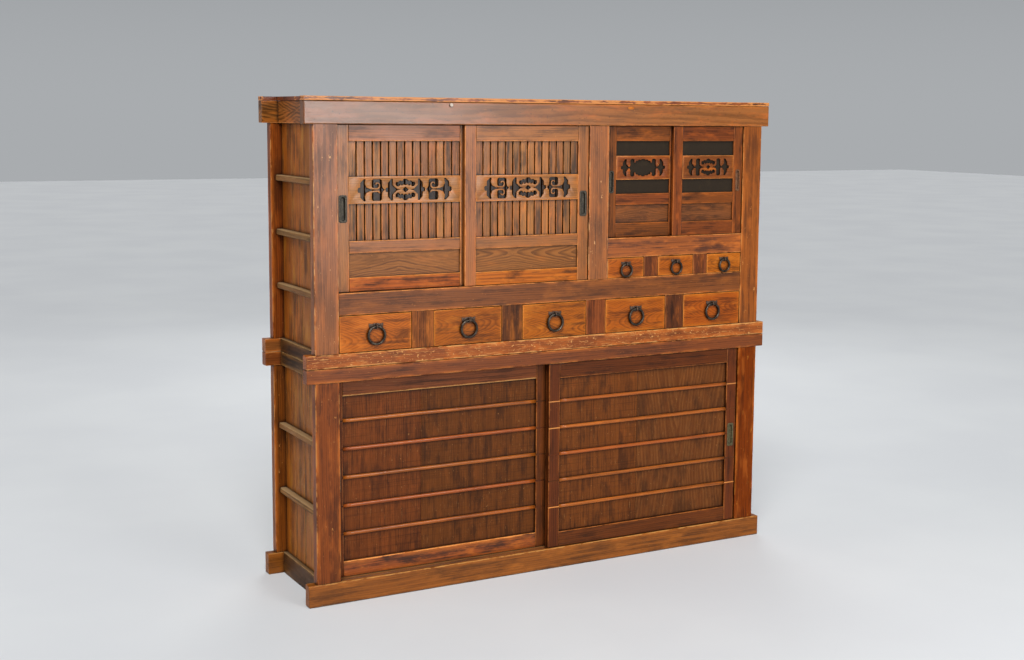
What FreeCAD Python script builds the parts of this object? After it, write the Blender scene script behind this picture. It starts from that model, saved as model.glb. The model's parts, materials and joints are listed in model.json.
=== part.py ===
import FreeCAD, Part

import math
import os

from FreeCAD import Vector

# Mizuya kitchen cabinet in two stacked chests. All lengths are in millimetres.
# X runs along the front, Y from front to back, Z up. While it is built, the front faces of the
# long beams lie in the plane Y = 0; each finished piece is then moved back so that the cabinet
# stands centred on the origin.

# Whole cabinet
overall_width = 1818.0
overall_height = 1650.0
cabinet_depth = 440.0
base_chest_height = 783.0

# Long beams, which run past the posts as short horns
beam_thickness = 37.0
horn_length = 29.0
sill_height = 74.0
base_rail_height = 47.0
upper_sill_height = 46.0
top_beam_height = 74.0
beam_chamfer = 1.8

# Side rails, which tie the front and rear beams together
side_rail_inset = 26.0
side_rail_thickness = 22.0

# Posts
post_width = 83.0
post_thickness = 34.0
post_setback = 3.0
post_chamfer = 1.5
middle_post_width = 80.0

# Openings of the wide and the narrow pair of doors. With the middle post they share the width
# between the corner posts in proportion.
wide_opening = 930.0
narrow_opening = 584.0

# Top boards
top_board_thickness = 14.0
top_joint_share = 0.5
top_board_lip = 3.0

# Side panels of upright boards, with a small bevel along each joint
side_panel_inset = 40.0
side_panel_thickness = 9.0
side_board_count = 4
board_bevel = 1.5

# Battens across the side panels
batten_height = 20.0
batten_depth = 24.0
batten_chamfer = 3.0
upper_batten_count = 3
base_batten_first = 222.0
base_batten_step = 230.0
base_batten_top_gap = 210.0
base_batten_count = 2

# Back boards
back_board_thickness = 8.0
back_board_count = 7

# Rows of the upper chest's front. They share the height between the sill and the top beam in
# proportion, and the ring pulls follow their row.
drawer_row_height = 123.0
long_rail_height = 72.0
small_row_height = 73.0
right_rail_height = 70.0
narrow_door_height = 395.0

# Rails and dividers of the front
rail_setback = 4.0
divider_setback = 5.0
divider_thickness = 22.0
front_chamfer = 1.0

# Drawers
drawer_count = 5
divider_width = 80.0
small_drawer_count = 3
small_divider_width = 61.0
drawer_setback = 5.0
drawer_front_thickness = 20.0
drawer_side_thickness = 10.0
drawer_bottom_thickness = 6.0
drawer_bottom_lift = 4.0
drawer_side_gap = 1.2
drawer_top_gap = 2.0
drawer_side_drop = 8.0
drawer_back_gap = 12.0
drawer_chamfer = 1.5
drawer_running_gap = 0.4

# Boards and runners inside
inner_board_thickness = 12.0
guide_height = 18.0
kicker_lap = 9.0
partition_thickness = 12.0
shelf_setback = 40.0
shelf_level_share = 0.5
ledge_size = 18.0
prop_width = 36.0
track_depth = 30.0
track_height = 24.0

# Sliding doors, common
door_side_gap = 2.0
door_end_gap = 1.0
tongue_height = 5.0
tongue_clearance = 0.5
lower_groove_depth = 6.0
upper_groove_depth = 10.0
door_chamfer = 1.2

# Upper sliding doors, in two tracks one behind the other
upper_door_setback = 6.0
upper_door_thickness = 14.0
upper_door_gap = 2.0
upper_tongue_thickness = 6.0
panel_setback = 6.0
panel_thickness = 5.0
frieze_setback = 0.6
frieze_thickness = 6.0

# Wide doors. The heights from the bottom rail to the top rail share the door's height in
# proportion, and so they do on the narrow doors.
wide_door_overlap = 32.0
wide_stile_width = 42.0
wide_bottom_rail = 47.0
wide_panel_height = 78.0
wide_middle_rail = 40.0
wide_lower_slats = 119.0
wide_frieze_height = 87.0
wide_upper_slats = 113.0
wide_top_rail = 54.0
slat_count = 14
slat_gap = 4.0
slat_thickness = 5.0
slat_bevel = 0.8

# Narrow doors
narrow_door_overlap = 34.0
narrow_stile_width = 40.0
narrow_bottom_rail = 51.0
narrow_panel_height = 64.0
narrow_middle_rail = 40.0
narrow_lower_window = 50.0
narrow_frieze_height = 84.0
narrow_upper_window = 52.0
narrow_top_rail = 54.0
mesh_thickness = 0.8
mesh_gap = 0.6

# Base sliding doors. The rear one slides behind the left post, where its edge is tucked.
base_door_setback = 8.0
base_door_thickness = 24.0
base_rear_gap = 2.0
base_tongue_thickness = 10.0
base_door_tuck = 21.0
base_door_overlap = 10.0
base_door_gap = 3.0
base_stile_width = 44.0
base_bottom_rail = 54.0
base_top_rail = 54.0
base_board_setback = 10.0
base_board_thickness = 8.0
left_board_joint_share = 0.393
right_board_joint_share = 0.455
board_joint_bevel = 0.8
rod_count = 5
rod_first = 92.0
rod_pitch = 95.0
rod_top_gap = 82.0
rod_height = 13.0
rod_depth = 9.0
rod_tenon_height = 4.0
rod_tenon_depth = 6.0

# Recessed pulls of the doors
pull_width = 28.0
pull_height = 88.0
pull_slot_width = 15.0
pull_slot_height = 75.0
narrow_pull_width = 19.0
narrow_pull_height = 79.0
narrow_slot_width = 11.0
narrow_slot_height = 70.0
pull_corner = 7.0
slot_corner_share = 0.46
pull_wall = 1.2
pull_flange = 1.0
pull_depth = 8.0
pocket_clearance = 0.3
corner_chords = 3

# Ring pulls of the drawers, made of short straight lengths
ring_diameter = 66.0
ring_wire = 8.4
ring_drop = 41.0
small_ring_diameter = 52.0
small_ring_wire = 7.2
small_ring_drop = 22.8
ring_stand = 7.0
ring_lengths = 24
wire_sides = 8
eye_width = 5.0
eye_wall = 2.6
eye_clearance = 0.4
eye_hole_sides = 12
eye_nose_chords = 5
plate_thickness = 1.8
plate_width_share = 0.76
plate_height_share = 0.31

# One overrun for every cut, the gap under which two planes count as one, and the turn of the
# longest chord in a cut-out's round stretches, in degrees
overrun = 5.0
same_plane = 0.01
chord_turn = 48.0

# Cut-outs of the pierced friezes, as shares of the motif's length unit along the frieze and of
# the frieze's height up it, from its centre. Two numbers are a straight line to that point, and
# four are an arc through the first point to the second. The upper left quarter is given, from its
# outer tip inwards. The length unit is a share of the door's bay.
wide_motif_share = 0.22
narrow_motif_share = 0.37
vine_shares = (
    (-1.92, 0.0),
    (-1.90, 0.075, -1.82, 0.095),
    (-1.80, 0.30, -1.69, 0.395),
    (-1.645, 0.41, -1.605, 0.395),
    (-1.60, 0.14, -1.42, 0.035),
    (-1.16, 0.018),
)
curl_shares = (
    (-1.16, 0.018),
    (-1.065, 0.055, -1.03, 0.165),
    (-1.065, 0.26, -1.14, 0.28),
    (-1.20, 0.26, -1.215, 0.20),
    (-1.172, 0.20),
    (-1.165, 0.228, -1.14, 0.235),
    (-1.09, 0.215, -1.075, 0.165),
    (-1.10, 0.10, -1.18, 0.075),
    (-1.27, 0.075),
)
stub_shares = (
    (-1.16, 0.018),
    (-1.05, 0.045, -1.02, 0.12),
    (-1.06, 0.12),
    (-1.09, 0.085, -1.16, 0.075),
    (-1.27, 0.075),
)
square_shares = (
    (-1.27, 0.075),
    (-1.34, 0.10, -1.36, 0.18),
    (-1.36, 0.30),
    (-1.335, 0.375, -1.26, 0.40),
    (-1.05, 0.40),
    (-0.975, 0.375, -0.95, 0.30),
    (-0.95, 0.20),
    (-0.925, 0.08, -0.84, 0.0),
)
anchor_shares = (
    (-0.81, 0.0),
    (-0.79, 0.065, -0.715, 0.08),
    (-0.695, 0.28, -0.60, 0.385),
    (-0.55, 0.405, -0.51, 0.39),
    (-0.49, 0.14, -0.35, 0.03),
    (-0.20, 0.0),
)
cloud_shares = (
    (-0.40, 0.20),
    (-0.385, 0.27, -0.30, 0.285),
    (-0.22, 0.335, -0.14, 0.315),
    (0.0, 0.405, 0.14, 0.315),
    (0.22, 0.335, 0.30, 0.285),
    (0.385, 0.27, 0.40, 0.20),
    (0.345, 0.125, 0.25, 0.135),
    (0.21, 0.20),
    (0.145, 0.15, 0.09, 0.20),
    (0.0, 0.165, -0.09, 0.20),
    (-0.145, 0.15, -0.21, 0.20),
    (-0.25, 0.135),
    (-0.345, 0.125, -0.40, 0.20),
)
diamond_shares = (
    (-0.13, 0.0),
    (-0.07, 0.05, 0.0, 0.105),
    (0.07, 0.05, 0.13, 0.0),
    (0.07, -0.05, 0.0, -0.105),
    (-0.07, -0.05, -0.13, 0.0),
)
crescent_shares = (
    (-1.12, 0.0),
    (-1.10, 0.06, -1.03, 0.07),
    (-1.01, 0.24, -0.93, 0.34),
    (-0.88, 0.365, -0.83, 0.345),
    (-0.83, 0.13, -0.72, 0.03),
    (-0.69, 0.03),
    (-0.655, 0.09, -0.65, 0.18),
    (-0.65, 0.32),
    (-0.54, 0.375, -0.435, 0.33),
)
block_shares = (
    (-0.435, 0.33),
    (-0.44, 0.18),
    (-0.40, 0.06, -0.30, 0.025),
    (-0.205, 0.0),
)
broken_shares = (
    (-0.435, 0.33),
    (-0.44, 0.22),
    (-0.39, 0.20),
    (-0.36, 0.28, -0.28, 0.29),
    (-0.20, 0.345, -0.12, 0.32),
    (-0.07, 0.365, 0.0, 0.365),
)
narrow_centre_share = 0.91

# Outline of a ring pull's backplate, as shares of its width and height from the ring's pivot:
# two low ears with a dip between them, over a pointed foot
plate_shares = (
    (-0.5, 0.50),
    (-0.30, 0.38, -0.10, 0.48),
    (0.0, 0.42, 0.10, 0.48),
    (0.30, 0.38, 0.5, 0.50),
    (0.49, 0.05, 0.42, -0.30),
    (0.20, -0.30, 0.0, -0.50),
    (-0.20, -0.30, -0.42, -0.30),
    (-0.49, 0.05, -0.5, 0.50),
)


def divided(low, high, sizes):
    """Places that split a stretch in proportion to named sizes, both ends included."""
    unit = (high - low) / sum(sizes)
    return [low + unit * sum(sizes[:number]) for number in range(len(sizes) + 1)]


# Levels and planes that follow from the sizes above
beam_half = overall_width / 2
post_outer = beam_half - horn_length
post_inner = post_outer - post_width
post_back = post_setback + post_thickness
rear_beam_front = cabinet_depth - beam_thickness
rear_post_front = cabinet_depth - post_thickness
inner_front = max(beam_thickness, post_back)
panel_outer = post_outer - side_panel_inset
panel_inner = panel_outer - side_panel_thickness
rail_outer = post_outer - side_rail_inset
rail_inner = rail_outer - side_rail_thickness
base_opening_top = base_chest_height - base_rail_height
upper_floor = base_chest_height + upper_sill_height
beam_top = overall_height - top_board_thickness
upper_opening_top = beam_top - top_beam_height
row_heights = (
    drawer_row_height, long_rail_height, small_row_height, right_rail_height, narrow_door_height
)
row_fit = (upper_opening_top - upper_floor) / sum(row_heights)
row_levels = divided(upper_floor, upper_opening_top, row_heights)
long_rail_bottom, long_rail_top, right_rail_bottom, right_rail_top = row_levels[1:-1]
bay_widths = (wide_opening, middle_post_width, narrow_opening)
middle_left, middle_right = divided(-post_inner, post_inner, bay_widths)[1:-1]
partition_left = middle_right - (middle_post_width + partition_thickness) / 2
partition_right = partition_left + partition_thickness

# Widths of the drawers' openings
drawer_opening = (2 * post_inner - (drawer_count - 1) * divider_width) / drawer_count
small_opening_total = post_inner - middle_right - (small_drawer_count - 1) * small_divider_width
small_opening = small_opening_total / small_drawer_count

# Width of a base door: the pair laps at the middle and fills the opening
base_door_span = 2 * post_inner - base_door_gap + base_door_tuck
base_door_width = (base_door_span + base_door_overlap) / 2

# Front planes of the rear doors
upper_rear_face = upper_door_setback + upper_door_thickness + upper_door_gap
base_rear_face = post_back + base_rear_gap

# How far the ring pulls' eyes reach in front of the beams, and so the cabinet's middle plane
ring_plane = drawer_setback - ring_stand
eye_outer = ring_wire / 2 + eye_clearance + eye_wall
front_reach = eye_outer - ring_plane
middle_plane = (cabinet_depth - front_reach) / 2

upright = Vector(0, 0, 1)
sizes_of_pull = (pull_width, pull_height, pull_slot_width, pull_slot_height)
sizes_of_narrow_pull = (
    narrow_pull_width, narrow_pull_height, narrow_slot_width, narrow_slot_height
)


def block(x_range, y_range, z_range):
    """A plain rectangular piece between two corners."""
    width = x_range[1] - x_range[0]
    depth = y_range[1] - y_range[0]
    height = z_range[1] - z_range[0]
    return Part.makeBox(width, depth, height, Vector(x_range[0], y_range[0], z_range[0]))


def prism(points, sweep):
    """A closed outline swept along a vector."""
    return Part.Face(Part.makePolygon(points + [points[0]])).extrude(sweep)


def softened(solid, size, wanted):
    """The solid with the edges that `wanted` picks cut back by `size`."""
    return solid.makeChamfer(size, [edge for edge in solid.Edges if wanted(edge)])


def stands(edge):
    """True for an upright edge."""
    return edge.BoundBox.ZLength > edge.BoundBox.XLength + edge.BoundBox.YLength


def in_x_plane(edge, place):
    """True where an edge lies in the plane X = place."""
    box = edge.BoundBox
    return abs(box.XMin - place) < same_plane and abs(box.XMax - place) < same_plane


def in_y_plane(edge, place):
    """True where an edge lies in the plane Y = place."""
    box = edge.BoundBox
    return abs(box.YMin - place) < same_plane and abs(box.YMax - place) < same_plane


def front_block(x_range, y_range, z_range, size):
    """A rectangular piece whose four front arrises are softened."""
    solid = block(x_range, y_range, z_range)
    return softened(solid, size, lambda edge: in_y_plane(edge, y_range[0]))


def both_sides(solids):
    """The pieces and their mirror images on the other side of the cabinet."""
    return solids + [solid.mirror(Vector(0, 0, 0), Vector(1, 0, 0)) for solid in solids]


def cut_all(solid, cutters):
    """The solid less every cutter."""
    for cutter in cutters:
        solid = solid.cut(cutter)
    return solid


def export(name, solids):
    """Write one node, moved back so that the cabinet stands centred on the origin."""
    shape = solids[0].copy() if len(solids) == 1 else Part.makeCompound(solids)
    shape.translate(Vector(0, -middle_plane, 0))
    shape.exportStep("parts/" + name + ".step")


# Frames of the two chests


def beam(z_range, y_range, outer_face):
    """A long beam with its outer arrises and its horn ends softened."""
    solid = block((-beam_half, beam_half), y_range, z_range)
    return softened(
        solid,
        beam_chamfer,
        lambda edge: in_y_plane(edge, outer_face)
        or in_x_plane(edge, beam_half)
        or in_x_plane(edge, -beam_half),
    )


def groove(x_range, door_face, thickness, tongue, z_range):
    """The slot that a door's tongue runs in, with clearance on both sides."""
    low = door_face + (thickness - tongue) / 2 - tongue_clearance
    return block(x_range, (low, low + tongue + 2 * tongue_clearance), z_range)


def upper_grooves(x_range, z_range):
    """The two slots of a pair of upper doors."""
    faces = (upper_door_setback, upper_rear_face)
    return [
        groove(x_range, face, upper_door_thickness, upper_tongue_thickness, z_range) for face in faces
    ]


def base_groove(x_limit, door_face, z_range):
    """The slot of one base door."""
    x_range = (-x_limit, x_limit)
    return groove(x_range, door_face, base_door_thickness, base_tongue_thickness, z_range)


def groove_below(level):
    """Levels of a slot cut down into a sill or rail."""
    return (level - lower_groove_depth, level + overrun)


def groove_above(level):
    """Levels of a slot cut up into a beam."""
    return (level - overrun, level + upper_groove_depth)


def level_frame(z_range, front_cutters):
    """Front beam, rear beam and side rails at one level."""
    front = cut_all(beam(z_range, (0, beam_thickness), 0), front_cutters)
    rear = beam(z_range, (rear_beam_front, cabinet_depth), cabinet_depth)
    rail = block((rail_inner, rail_outer), (beam_thickness, rear_beam_front), z_range)
    return [front, rear] + both_sides([rail])


def make_base_rails():
    """Sill frame and top rail frame of the base chest."""
    sill_slot = base_groove(post_inner, base_door_setback, groove_below(sill_height))
    rail_slot = base_groove(post_inner, base_door_setback, groove_above(base_opening_top))
    sill = level_frame((0, sill_height), [sill_slot])
    return sill + level_frame((base_opening_top, base_chest_height), [rail_slot])


def make_upper_rails():
    """Sill frame and top beam frame of the upper chest."""
    levels = groove_above(upper_opening_top)
    slots = upper_grooves((-post_inner, middle_left), levels)
    slots += upper_grooves((middle_right, post_inner), levels)
    sill = level_frame((base_chest_height, upper_floor), [])
    return sill + level_frame((upper_opening_top, beam_top), slots)


def corner_posts(z_range):
    """The four posts of one chest."""
    span = (post_inner, post_outer)
    front = block(span, (post_setback, post_back), z_range)
    rear = block(span, (rear_post_front, cabinet_depth), z_range)
    return both_sides([softened(post, post_chamfer, stands) for post in (front, rear)])


def make_upper_posts():
    """Corner posts of the upper chest and the post between the two pairs of doors."""
    middle = front_block(
        (middle_left, middle_right),
        (post_setback, post_back),
        (long_rail_top, upper_opening_top),
        front_chamfer,
    )
    return corner_posts((upper_floor, upper_opening_top)) + [middle]


def side_boards(z_range):
    """Upright boards of one chest's two side panels, bevelled along their joints."""
    step = (rear_post_front - post_back) / side_board_count
    boards = []
    for number in range(side_board_count):
        low = post_back + number * step
        board = block((panel_inner, panel_outer), (low, low + step), z_range)
        boards.append(
            softened(board, board_bevel, lambda edge: stands(edge) and in_x_plane(edge, panel_outer))
        )
    return both_sides(boards)


def batten_levels():
    """Undersides of the battens: evenly spaced on the upper chest, stepped on the base chest."""
    step = (upper_opening_top - upper_floor) / (upper_batten_count + 1)
    middles = [upper_floor + (number + 1) * step for number in range(upper_batten_count)]
    base_steps = (base_batten_step,) * (base_batten_count - 1)
    base_gaps = (base_batten_first,) + base_steps + (base_batten_top_gap,)
    middles += divided(sill_height, base_opening_top, base_gaps)[1:-1]
    return [middle - batten_height / 2 for middle in middles]


def make_side_battens():
    """Battens across the side panels, their outer arrises softened."""
    outer = panel_outer + batten_depth
    battens = []
    for level in batten_levels():
        solid = block(
            (panel_outer, outer), (post_back, rear_post_front), (level, level + batten_height)
        )
        battens.append(softened(solid, batten_chamfer, lambda edge: in_x_plane(edge, outer)))
    return both_sides(battens)


def make_back_boards():
    """Upright boards that close the back of both chests between the rear posts."""
    step = 2 * post_inner / back_board_count
    outer = rear_post_front + back_board_thickness
    boards = []
    for z_range in ((sill_height, base_opening_top), (upper_floor, upper_opening_top)):
        for number in range(back_board_count):
            low = number * step - post_inner
            board = block((low, low + step), (rear_post_front, outer), z_range)
            boards.append(
                softened(board, board_bevel, lambda edge: stands(edge) and in_y_plane(edge, outer))
            )
    return boards


def make_top_boards():
    """Front and rear top boards, whose ears cover the horns of the beams."""
    joint = cabinet_depth * top_joint_share
    body_half = rail_outer + top_board_lip
    z_range = (beam_top, overall_height)
    boards = []
    for body_y, ear_y in (
        ((0, joint), (0, beam_thickness)),
        ((joint, cabinet_depth), (rear_beam_front, cabinet_depth)),
    ):
        ears = block((-beam_half, beam_half), ear_y, z_range)
        body = block((-body_half, body_half), body_y, z_range)
        boards.append(ears.fuse(body).removeSplitter())
    return boards


# Rails and dividers of the front, and the boards inside


def grooved_rail(x_range, z_range, slot_range):
    """A front rail with the slots of a pair of doors in its top."""
    rail = front_block(x_range, (rail_setback, beam_thickness), z_range, front_chamfer)
    return cut_all(rail, upper_grooves(slot_range, groove_below(z_range[1])))


def make_front_rails():
    """The long rail over the drawers and the short rail under the narrow doors."""
    wide = (-post_inner, middle_left)
    narrow = (middle_right, post_inner)
    return [
        grooved_rail((-post_inner, post_inner), (long_rail_bottom, long_rail_top), wide),
        grooved_rail(narrow, (right_rail_bottom, right_rail_top), narrow),
    ]


def spans_between(start, opening, width, count):
    """The stretches that the dividers of one row take up."""
    lows = [start + number * (opening + width) + opening for number in range(count - 1)]
    return [(low, low + width) for low in lows]


def divider_rows():
    """Divider spans, floor level, ceiling level and board level above of both rows."""
    long_spans = spans_between(-post_inner, drawer_opening, divider_width, drawer_count)
    small_spans = spans_between(
        middle_right, small_opening, small_divider_width, small_drawer_count
    )
    return [
        (long_spans, upper_floor, long_rail_bottom, long_rail_top),
        (small_spans, long_rail_top, right_rail_bottom, right_rail_top),
    ]


def make_drawer_dividers():
    """Upright blocks between the drawers of both rows."""
    y_range = (divider_setback, divider_setback + divider_thickness)
    return [
        front_block(span, y_range, (floor_level, ceiling), front_chamfer)
        for spans, floor_level, ceiling, board_level in divider_rows()
        for span in spans
    ]


def board_under(x_range, y_range, level):
    """A level board whose upper face is at the level."""
    return block(x_range, y_range, (level - inner_board_thickness, level))


def make_floor_boards():
    """Floors of both chests, boards over the drawers, and the partition between compartments."""
    between_rails = (-rail_inner, rail_inner)
    behind_front = (inner_front, rear_post_front)
    base = board_under(between_rails, (beam_thickness + track_depth, rear_beam_front), sill_height)
    upper = board_under(between_rails, (beam_thickness, rear_beam_front), upper_floor)
    over_drawers = board_under((-panel_inner, panel_inner), behind_front, long_rail_top)
    over_small = board_under((partition_right, panel_inner), behind_front, right_rail_top)
    partition = block(
        (partition_left, partition_right),
        (post_back, rear_post_front),
        (long_rail_top, upper_opening_top),
    )
    return [base, upper, over_drawers, over_small, partition]


def make_door_tracks():
    """Inner rails behind the sill and the top rail, for the rear base door."""
    y_range = (beam_thickness, beam_thickness + track_depth)
    span = (-rail_inner, rail_inner)
    reach = rail_inner + overrun
    lower = block(span, y_range, (sill_height - track_height, sill_height))
    upper = block(span, y_range, (base_opening_top, base_opening_top + track_height))
    return [
        lower.cut(base_groove(reach, base_rear_face, groove_below(sill_height))),
        upper.cut(base_groove(reach, base_rear_face, groove_above(base_opening_top))),
    ]


def middle_level(low, high):
    """Level of a shelf between a floor and the top of its compartment."""
    return low + (high - low) * shelf_level_share


def shelf_on_ledges(x_range, level):
    """A shelf, the ledges at its two ends and the ledge along the back."""
    left, right = x_range
    y_range = (beam_thickness + track_depth + shelf_setback, rear_post_front)
    under = (level - inner_board_thickness - ledge_size, level - inner_board_thickness)
    return [
        board_under(x_range, y_range, level),
        block((left, left + ledge_size), y_range, under),
        block((right - ledge_size, right), y_range, under),
        block(
            (left + ledge_size, right - ledge_size),
            (rear_post_front - ledge_size, rear_post_front),
            under,
        ),
    ]


def make_shelves():
    """Shelves of the three compartments, and the prop under the long one."""
    base_level = middle_level(sill_height, base_opening_top)
    front = beam_thickness + track_depth + shelf_setback
    prop = block(
        (-prop_width / 2, prop_width / 2),
        (front, front + prop_width),
        (sill_height, base_level - inner_board_thickness),
    )
    solids = shelf_on_ledges((-panel_inner, panel_inner), base_level) + [prop]
    for x_range, floor_level in (
        ((-panel_inner, partition_left), long_rail_top),
        ((partition_right, panel_inner), right_rail_top),
    ):
        solids += shelf_on_ledges(x_range, middle_level(floor_level, upper_opening_top))
    return solids


def kicker(span, limits, ceiling, board_level):
    """A strip over the gap between two drawers, which stops them tipping when pulled out."""
    low = max(span[0] - kicker_lap, limits[0])
    high = min(span[1] + kicker_lap, limits[1])
    return block(
        (low, high), (inner_front, rear_post_front), (ceiling, board_level - inner_board_thickness)
    )


def make_drawer_runners():
    """Guides beside the drawers on the floors, and kickers above the gaps between them."""
    guide_start = divider_setback + divider_thickness
    inside = ((-panel_inner, panel_inner), (partition_right, panel_inner))
    ends = (
        ((-panel_inner, -post_inner), (post_inner, panel_inner)),
        ((partition_right, middle_right), (post_inner, panel_inner)),
    )
    solids = []
    for row, limits, end_spans in zip(divider_rows(), inside, ends):
        spans, floor_level, ceiling, board_level = row
        guide_z = (floor_level, floor_level + guide_height)
        for span in spans:
            solids.append(block(span, (guide_start, rear_post_front), guide_z))
            solids.append(kicker(span, limits, ceiling, board_level))
        for span in end_spans:
            solids.append(block(span, (inner_front, rear_post_front), guide_z))
            solids.append(kicker(span, limits, ceiling, board_level))
    return solids


# Drawers with their ring pulls


def make_drawer(span, low, high):
    """Front, sides, bottom and back of one drawer."""
    left, right = span[0] + drawer_side_gap, span[1] - drawer_side_gap
    bottom, top = low + drawer_running_gap, high - drawer_top_gap
    front_back = drawer_setback + drawer_front_thickness
    box_back = rear_post_front - drawer_back_gap
    sides_top = top - drawer_side_drop
    inner = (left + drawer_side_thickness, right - drawer_side_thickness)
    floor_top = bottom + drawer_bottom_lift + drawer_bottom_thickness
    box_y = (front_back, box_back)
    return [
        front_block((left, right), (drawer_setback, front_back), (bottom, top), drawer_chamfer),
        block((left, inner[0]), box_y, (bottom, sides_top)),
        block((inner[1], right), box_y, (bottom, sides_top)),
        block(inner, box_y, (bottom + drawer_bottom_lift, floor_top)),
        block(inner, (box_back - drawer_side_thickness, box_back), (floor_top, sides_top)),
    ]


def make_ring(pivot, diameter, wire):
    """A ring of short straight lengths that hangs from its eye, a length in the eye's bore."""
    half_turn = math.pi / ring_lengths
    middle_radius = (diameter - wire) / 2
    centre = pivot - upright * middle_radius
    sections = []
    for number in range(ring_lengths):
        turn = (2 * number + 1) * half_turn
        section = []
        for side in range(wire_sides):
            around = (2 * side + 1) * math.pi / wire_sides
            radius = (middle_radius + wire / 2 * math.cos(around)) / math.cos(half_turn)
            away = Vector(
                radius * math.sin(turn), wire / 2 * math.sin(around), radius * math.cos(turn)
            )
            section.append(centre + away)
        sections.append(section)
    faces = []
    for here, there in zip(sections, sections[1:] + sections[:1]):
        for side in range(wire_sides):
            corners = [here[side - 1], here[side], there[side], there[side - 1]]
            faces.append(Part.Face(Part.makePolygon(corners + corners[:1])))
    solid = Part.Solid(Part.Shell(faces))
    if solid.Volume < 0:
        solid.reverse()
    return solid


def make_eye(pivot, wire):
    """The lug that the ring hangs in: a rounded nose on the backplate, with a bore across it."""
    bore = wire / 2 + eye_clearance
    outer = bore + eye_wall
    side = pivot.x - eye_width / 2
    root = drawer_setback - plate_thickness
    profile = [Vector(side, root, pivot.z + outer)]
    for number in range(eye_nose_chords + 1):
        turn = math.pi * number / eye_nose_chords
        profile.append(
            Vector(side, pivot.y - outer * math.sin(turn), pivot.z + outer * math.cos(turn))
        )
    profile.append(Vector(side, root, pivot.z - outer))
    reach = bore / math.cos(math.pi / eye_hole_sides)
    hole = []
    for number in range(eye_hole_sides):
        turn = 2 * math.pi * number / eye_hole_sides
        hole.append(
            Vector(side - overrun, pivot.y + reach * math.sin(turn), pivot.z + reach * math.cos(turn))
        )
    lug = prism(profile, Vector(eye_width, 0, 0))
    return lug.cut(prism(hole, Vector(eye_width + 2 * overrun, 0, 0)))


def make_plate(pivot, diameter, wire):
    """Backplate on the drawer's face with the eye that the ring hangs in."""
    width, height = diameter * plate_width_share, diameter * plate_height_share

    def place(across, up):
        return Vector(pivot.x + across * width, drawer_setback, pivot.z + up * height)

    plate = prism(trace(plate_shares, place)[:-1], Vector(0, -plate_thickness, 0))
    return plate.fuse(make_eye(pivot, wire)).removeSplitter()


# Outlines drawn from shares


def trace(steps, place):
    """Points along a list of shares, an arc as chords of at most the longest chord's turn."""
    points = [place(*steps[0])]
    for step in steps[1:]:
        end = place(*step[-2:])
        if len(step) == 4:
            arc = Part.Arc(points[-1], place(*step[:2]), end).toShape()
            turn = math.degrees(arc.LastParameter - arc.FirstParameter)
            chords = max(2, math.ceil(turn / chord_turn))
            points += arc.discretize(Number=chords + 1)[1:-1]
        points.append(end)
    return points


def outline_edges(lists, centre, motif, sides, levels):
    """Edges of quarter outlines, mirrored along and up as the signs say."""
    length, height = motif
    edges = []
    for along in sides:
        for up in levels:

            def place(share_along, share_up):
                away = Vector(along * share_along * length, 0, up * share_up * height)
                return centre + away

            for steps in lists:
                points = trace(steps, place)
                edges += [Part.makeLine(*pair) for pair in zip(points, points[1:])]
    return edges


def piercing(edges):
    """A cutter through a frieze, from a closed ring of edges in its front plane."""
    face = Part.Face(Part.Wire(Part.sortEdges(edges)[0]))
    cutter = face.extrude(Vector(0, frieze_thickness + 2 * overrun, 0))
    cutter.translate(Vector(0, -overrun, 0))
    return cutter


def centre_piercings(centre, motif):
    """The two clouds and the diamond at the middle of a frieze."""
    return [
        piercing(outline_edges([cloud_shares], centre, motif, [1], [1])),
        piercing(outline_edges([cloud_shares], centre, motif, [1], [-1])),
        piercing(outline_edges([diamond_shares], centre, motif, [1], [1])),
    ]


def wide_piercings(centre, motif, lower_curls):
    """Openings of a wide frieze: vines with curls, anchors, clouds and a diamond."""
    lower = curl_shares if lower_curls else stub_shares
    cutters = centre_piercings(centre, motif)
    for along in (1, -1):
        vine = outline_edges([vine_shares, curl_shares, square_shares], centre, motif, [along], [1])
        vine += outline_edges([vine_shares, lower, square_shares], centre, motif, [along], [-1])
        anchor = outline_edges([anchor_shares], centre, motif, [along], [1, -1])
        cutters += [piercing(vine), piercing(anchor)]
    return cutters


def narrow_piercings(centre, motif, broken):
    """Openings of a narrow frieze, whose middle has broken out on one door."""
    if broken:
        whole = outline_edges([crescent_shares, broken_shares], centre, motif, [1, -1], [1, -1])
        return [piercing(whole)]
    cutters = centre_piercings(centre, [size * narrow_centre_share for size in motif])
    for along in (1, -1):
        spear = outline_edges([crescent_shares, block_shares], centre, motif, [along], [1, -1])
        cutters.append(piercing(spear))
    return cutters


# Sliding doors


def rounded_slab(centre_x, centre_z, width, height, corner, y_range):
    """An upright slab with rounded corners."""
    points = []
    for quarter, (across, up) in enumerate(((1, 1), (-1, 1), (-1, -1), (1, -1))):
        corner_x = centre_x + across * (width / 2 - corner)
        corner_z = centre_z + up * (height / 2 - corner)
        for number in range(corner_chords + 1):
            turn = math.pi / 2 * (quarter + number / corner_chords)
            points.append(
                Vector(
                    corner_x + corner * math.cos(turn), y_range[0], corner_z + corner * math.sin(turn)
                )
            )
    return prism(points, Vector(0, y_range[1] - y_range[0], 0))


def slot_slab(centre_x, centre_z, slot_width, slot_height, margin, y_range):
    """A slab the shape of a pull's slot, grown by a margin."""
    width, height = slot_width + 2 * margin, slot_height + 2 * margin
    return rounded_slab(centre_x, centre_z, width, height, width * slot_corner_share, y_range)


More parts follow.
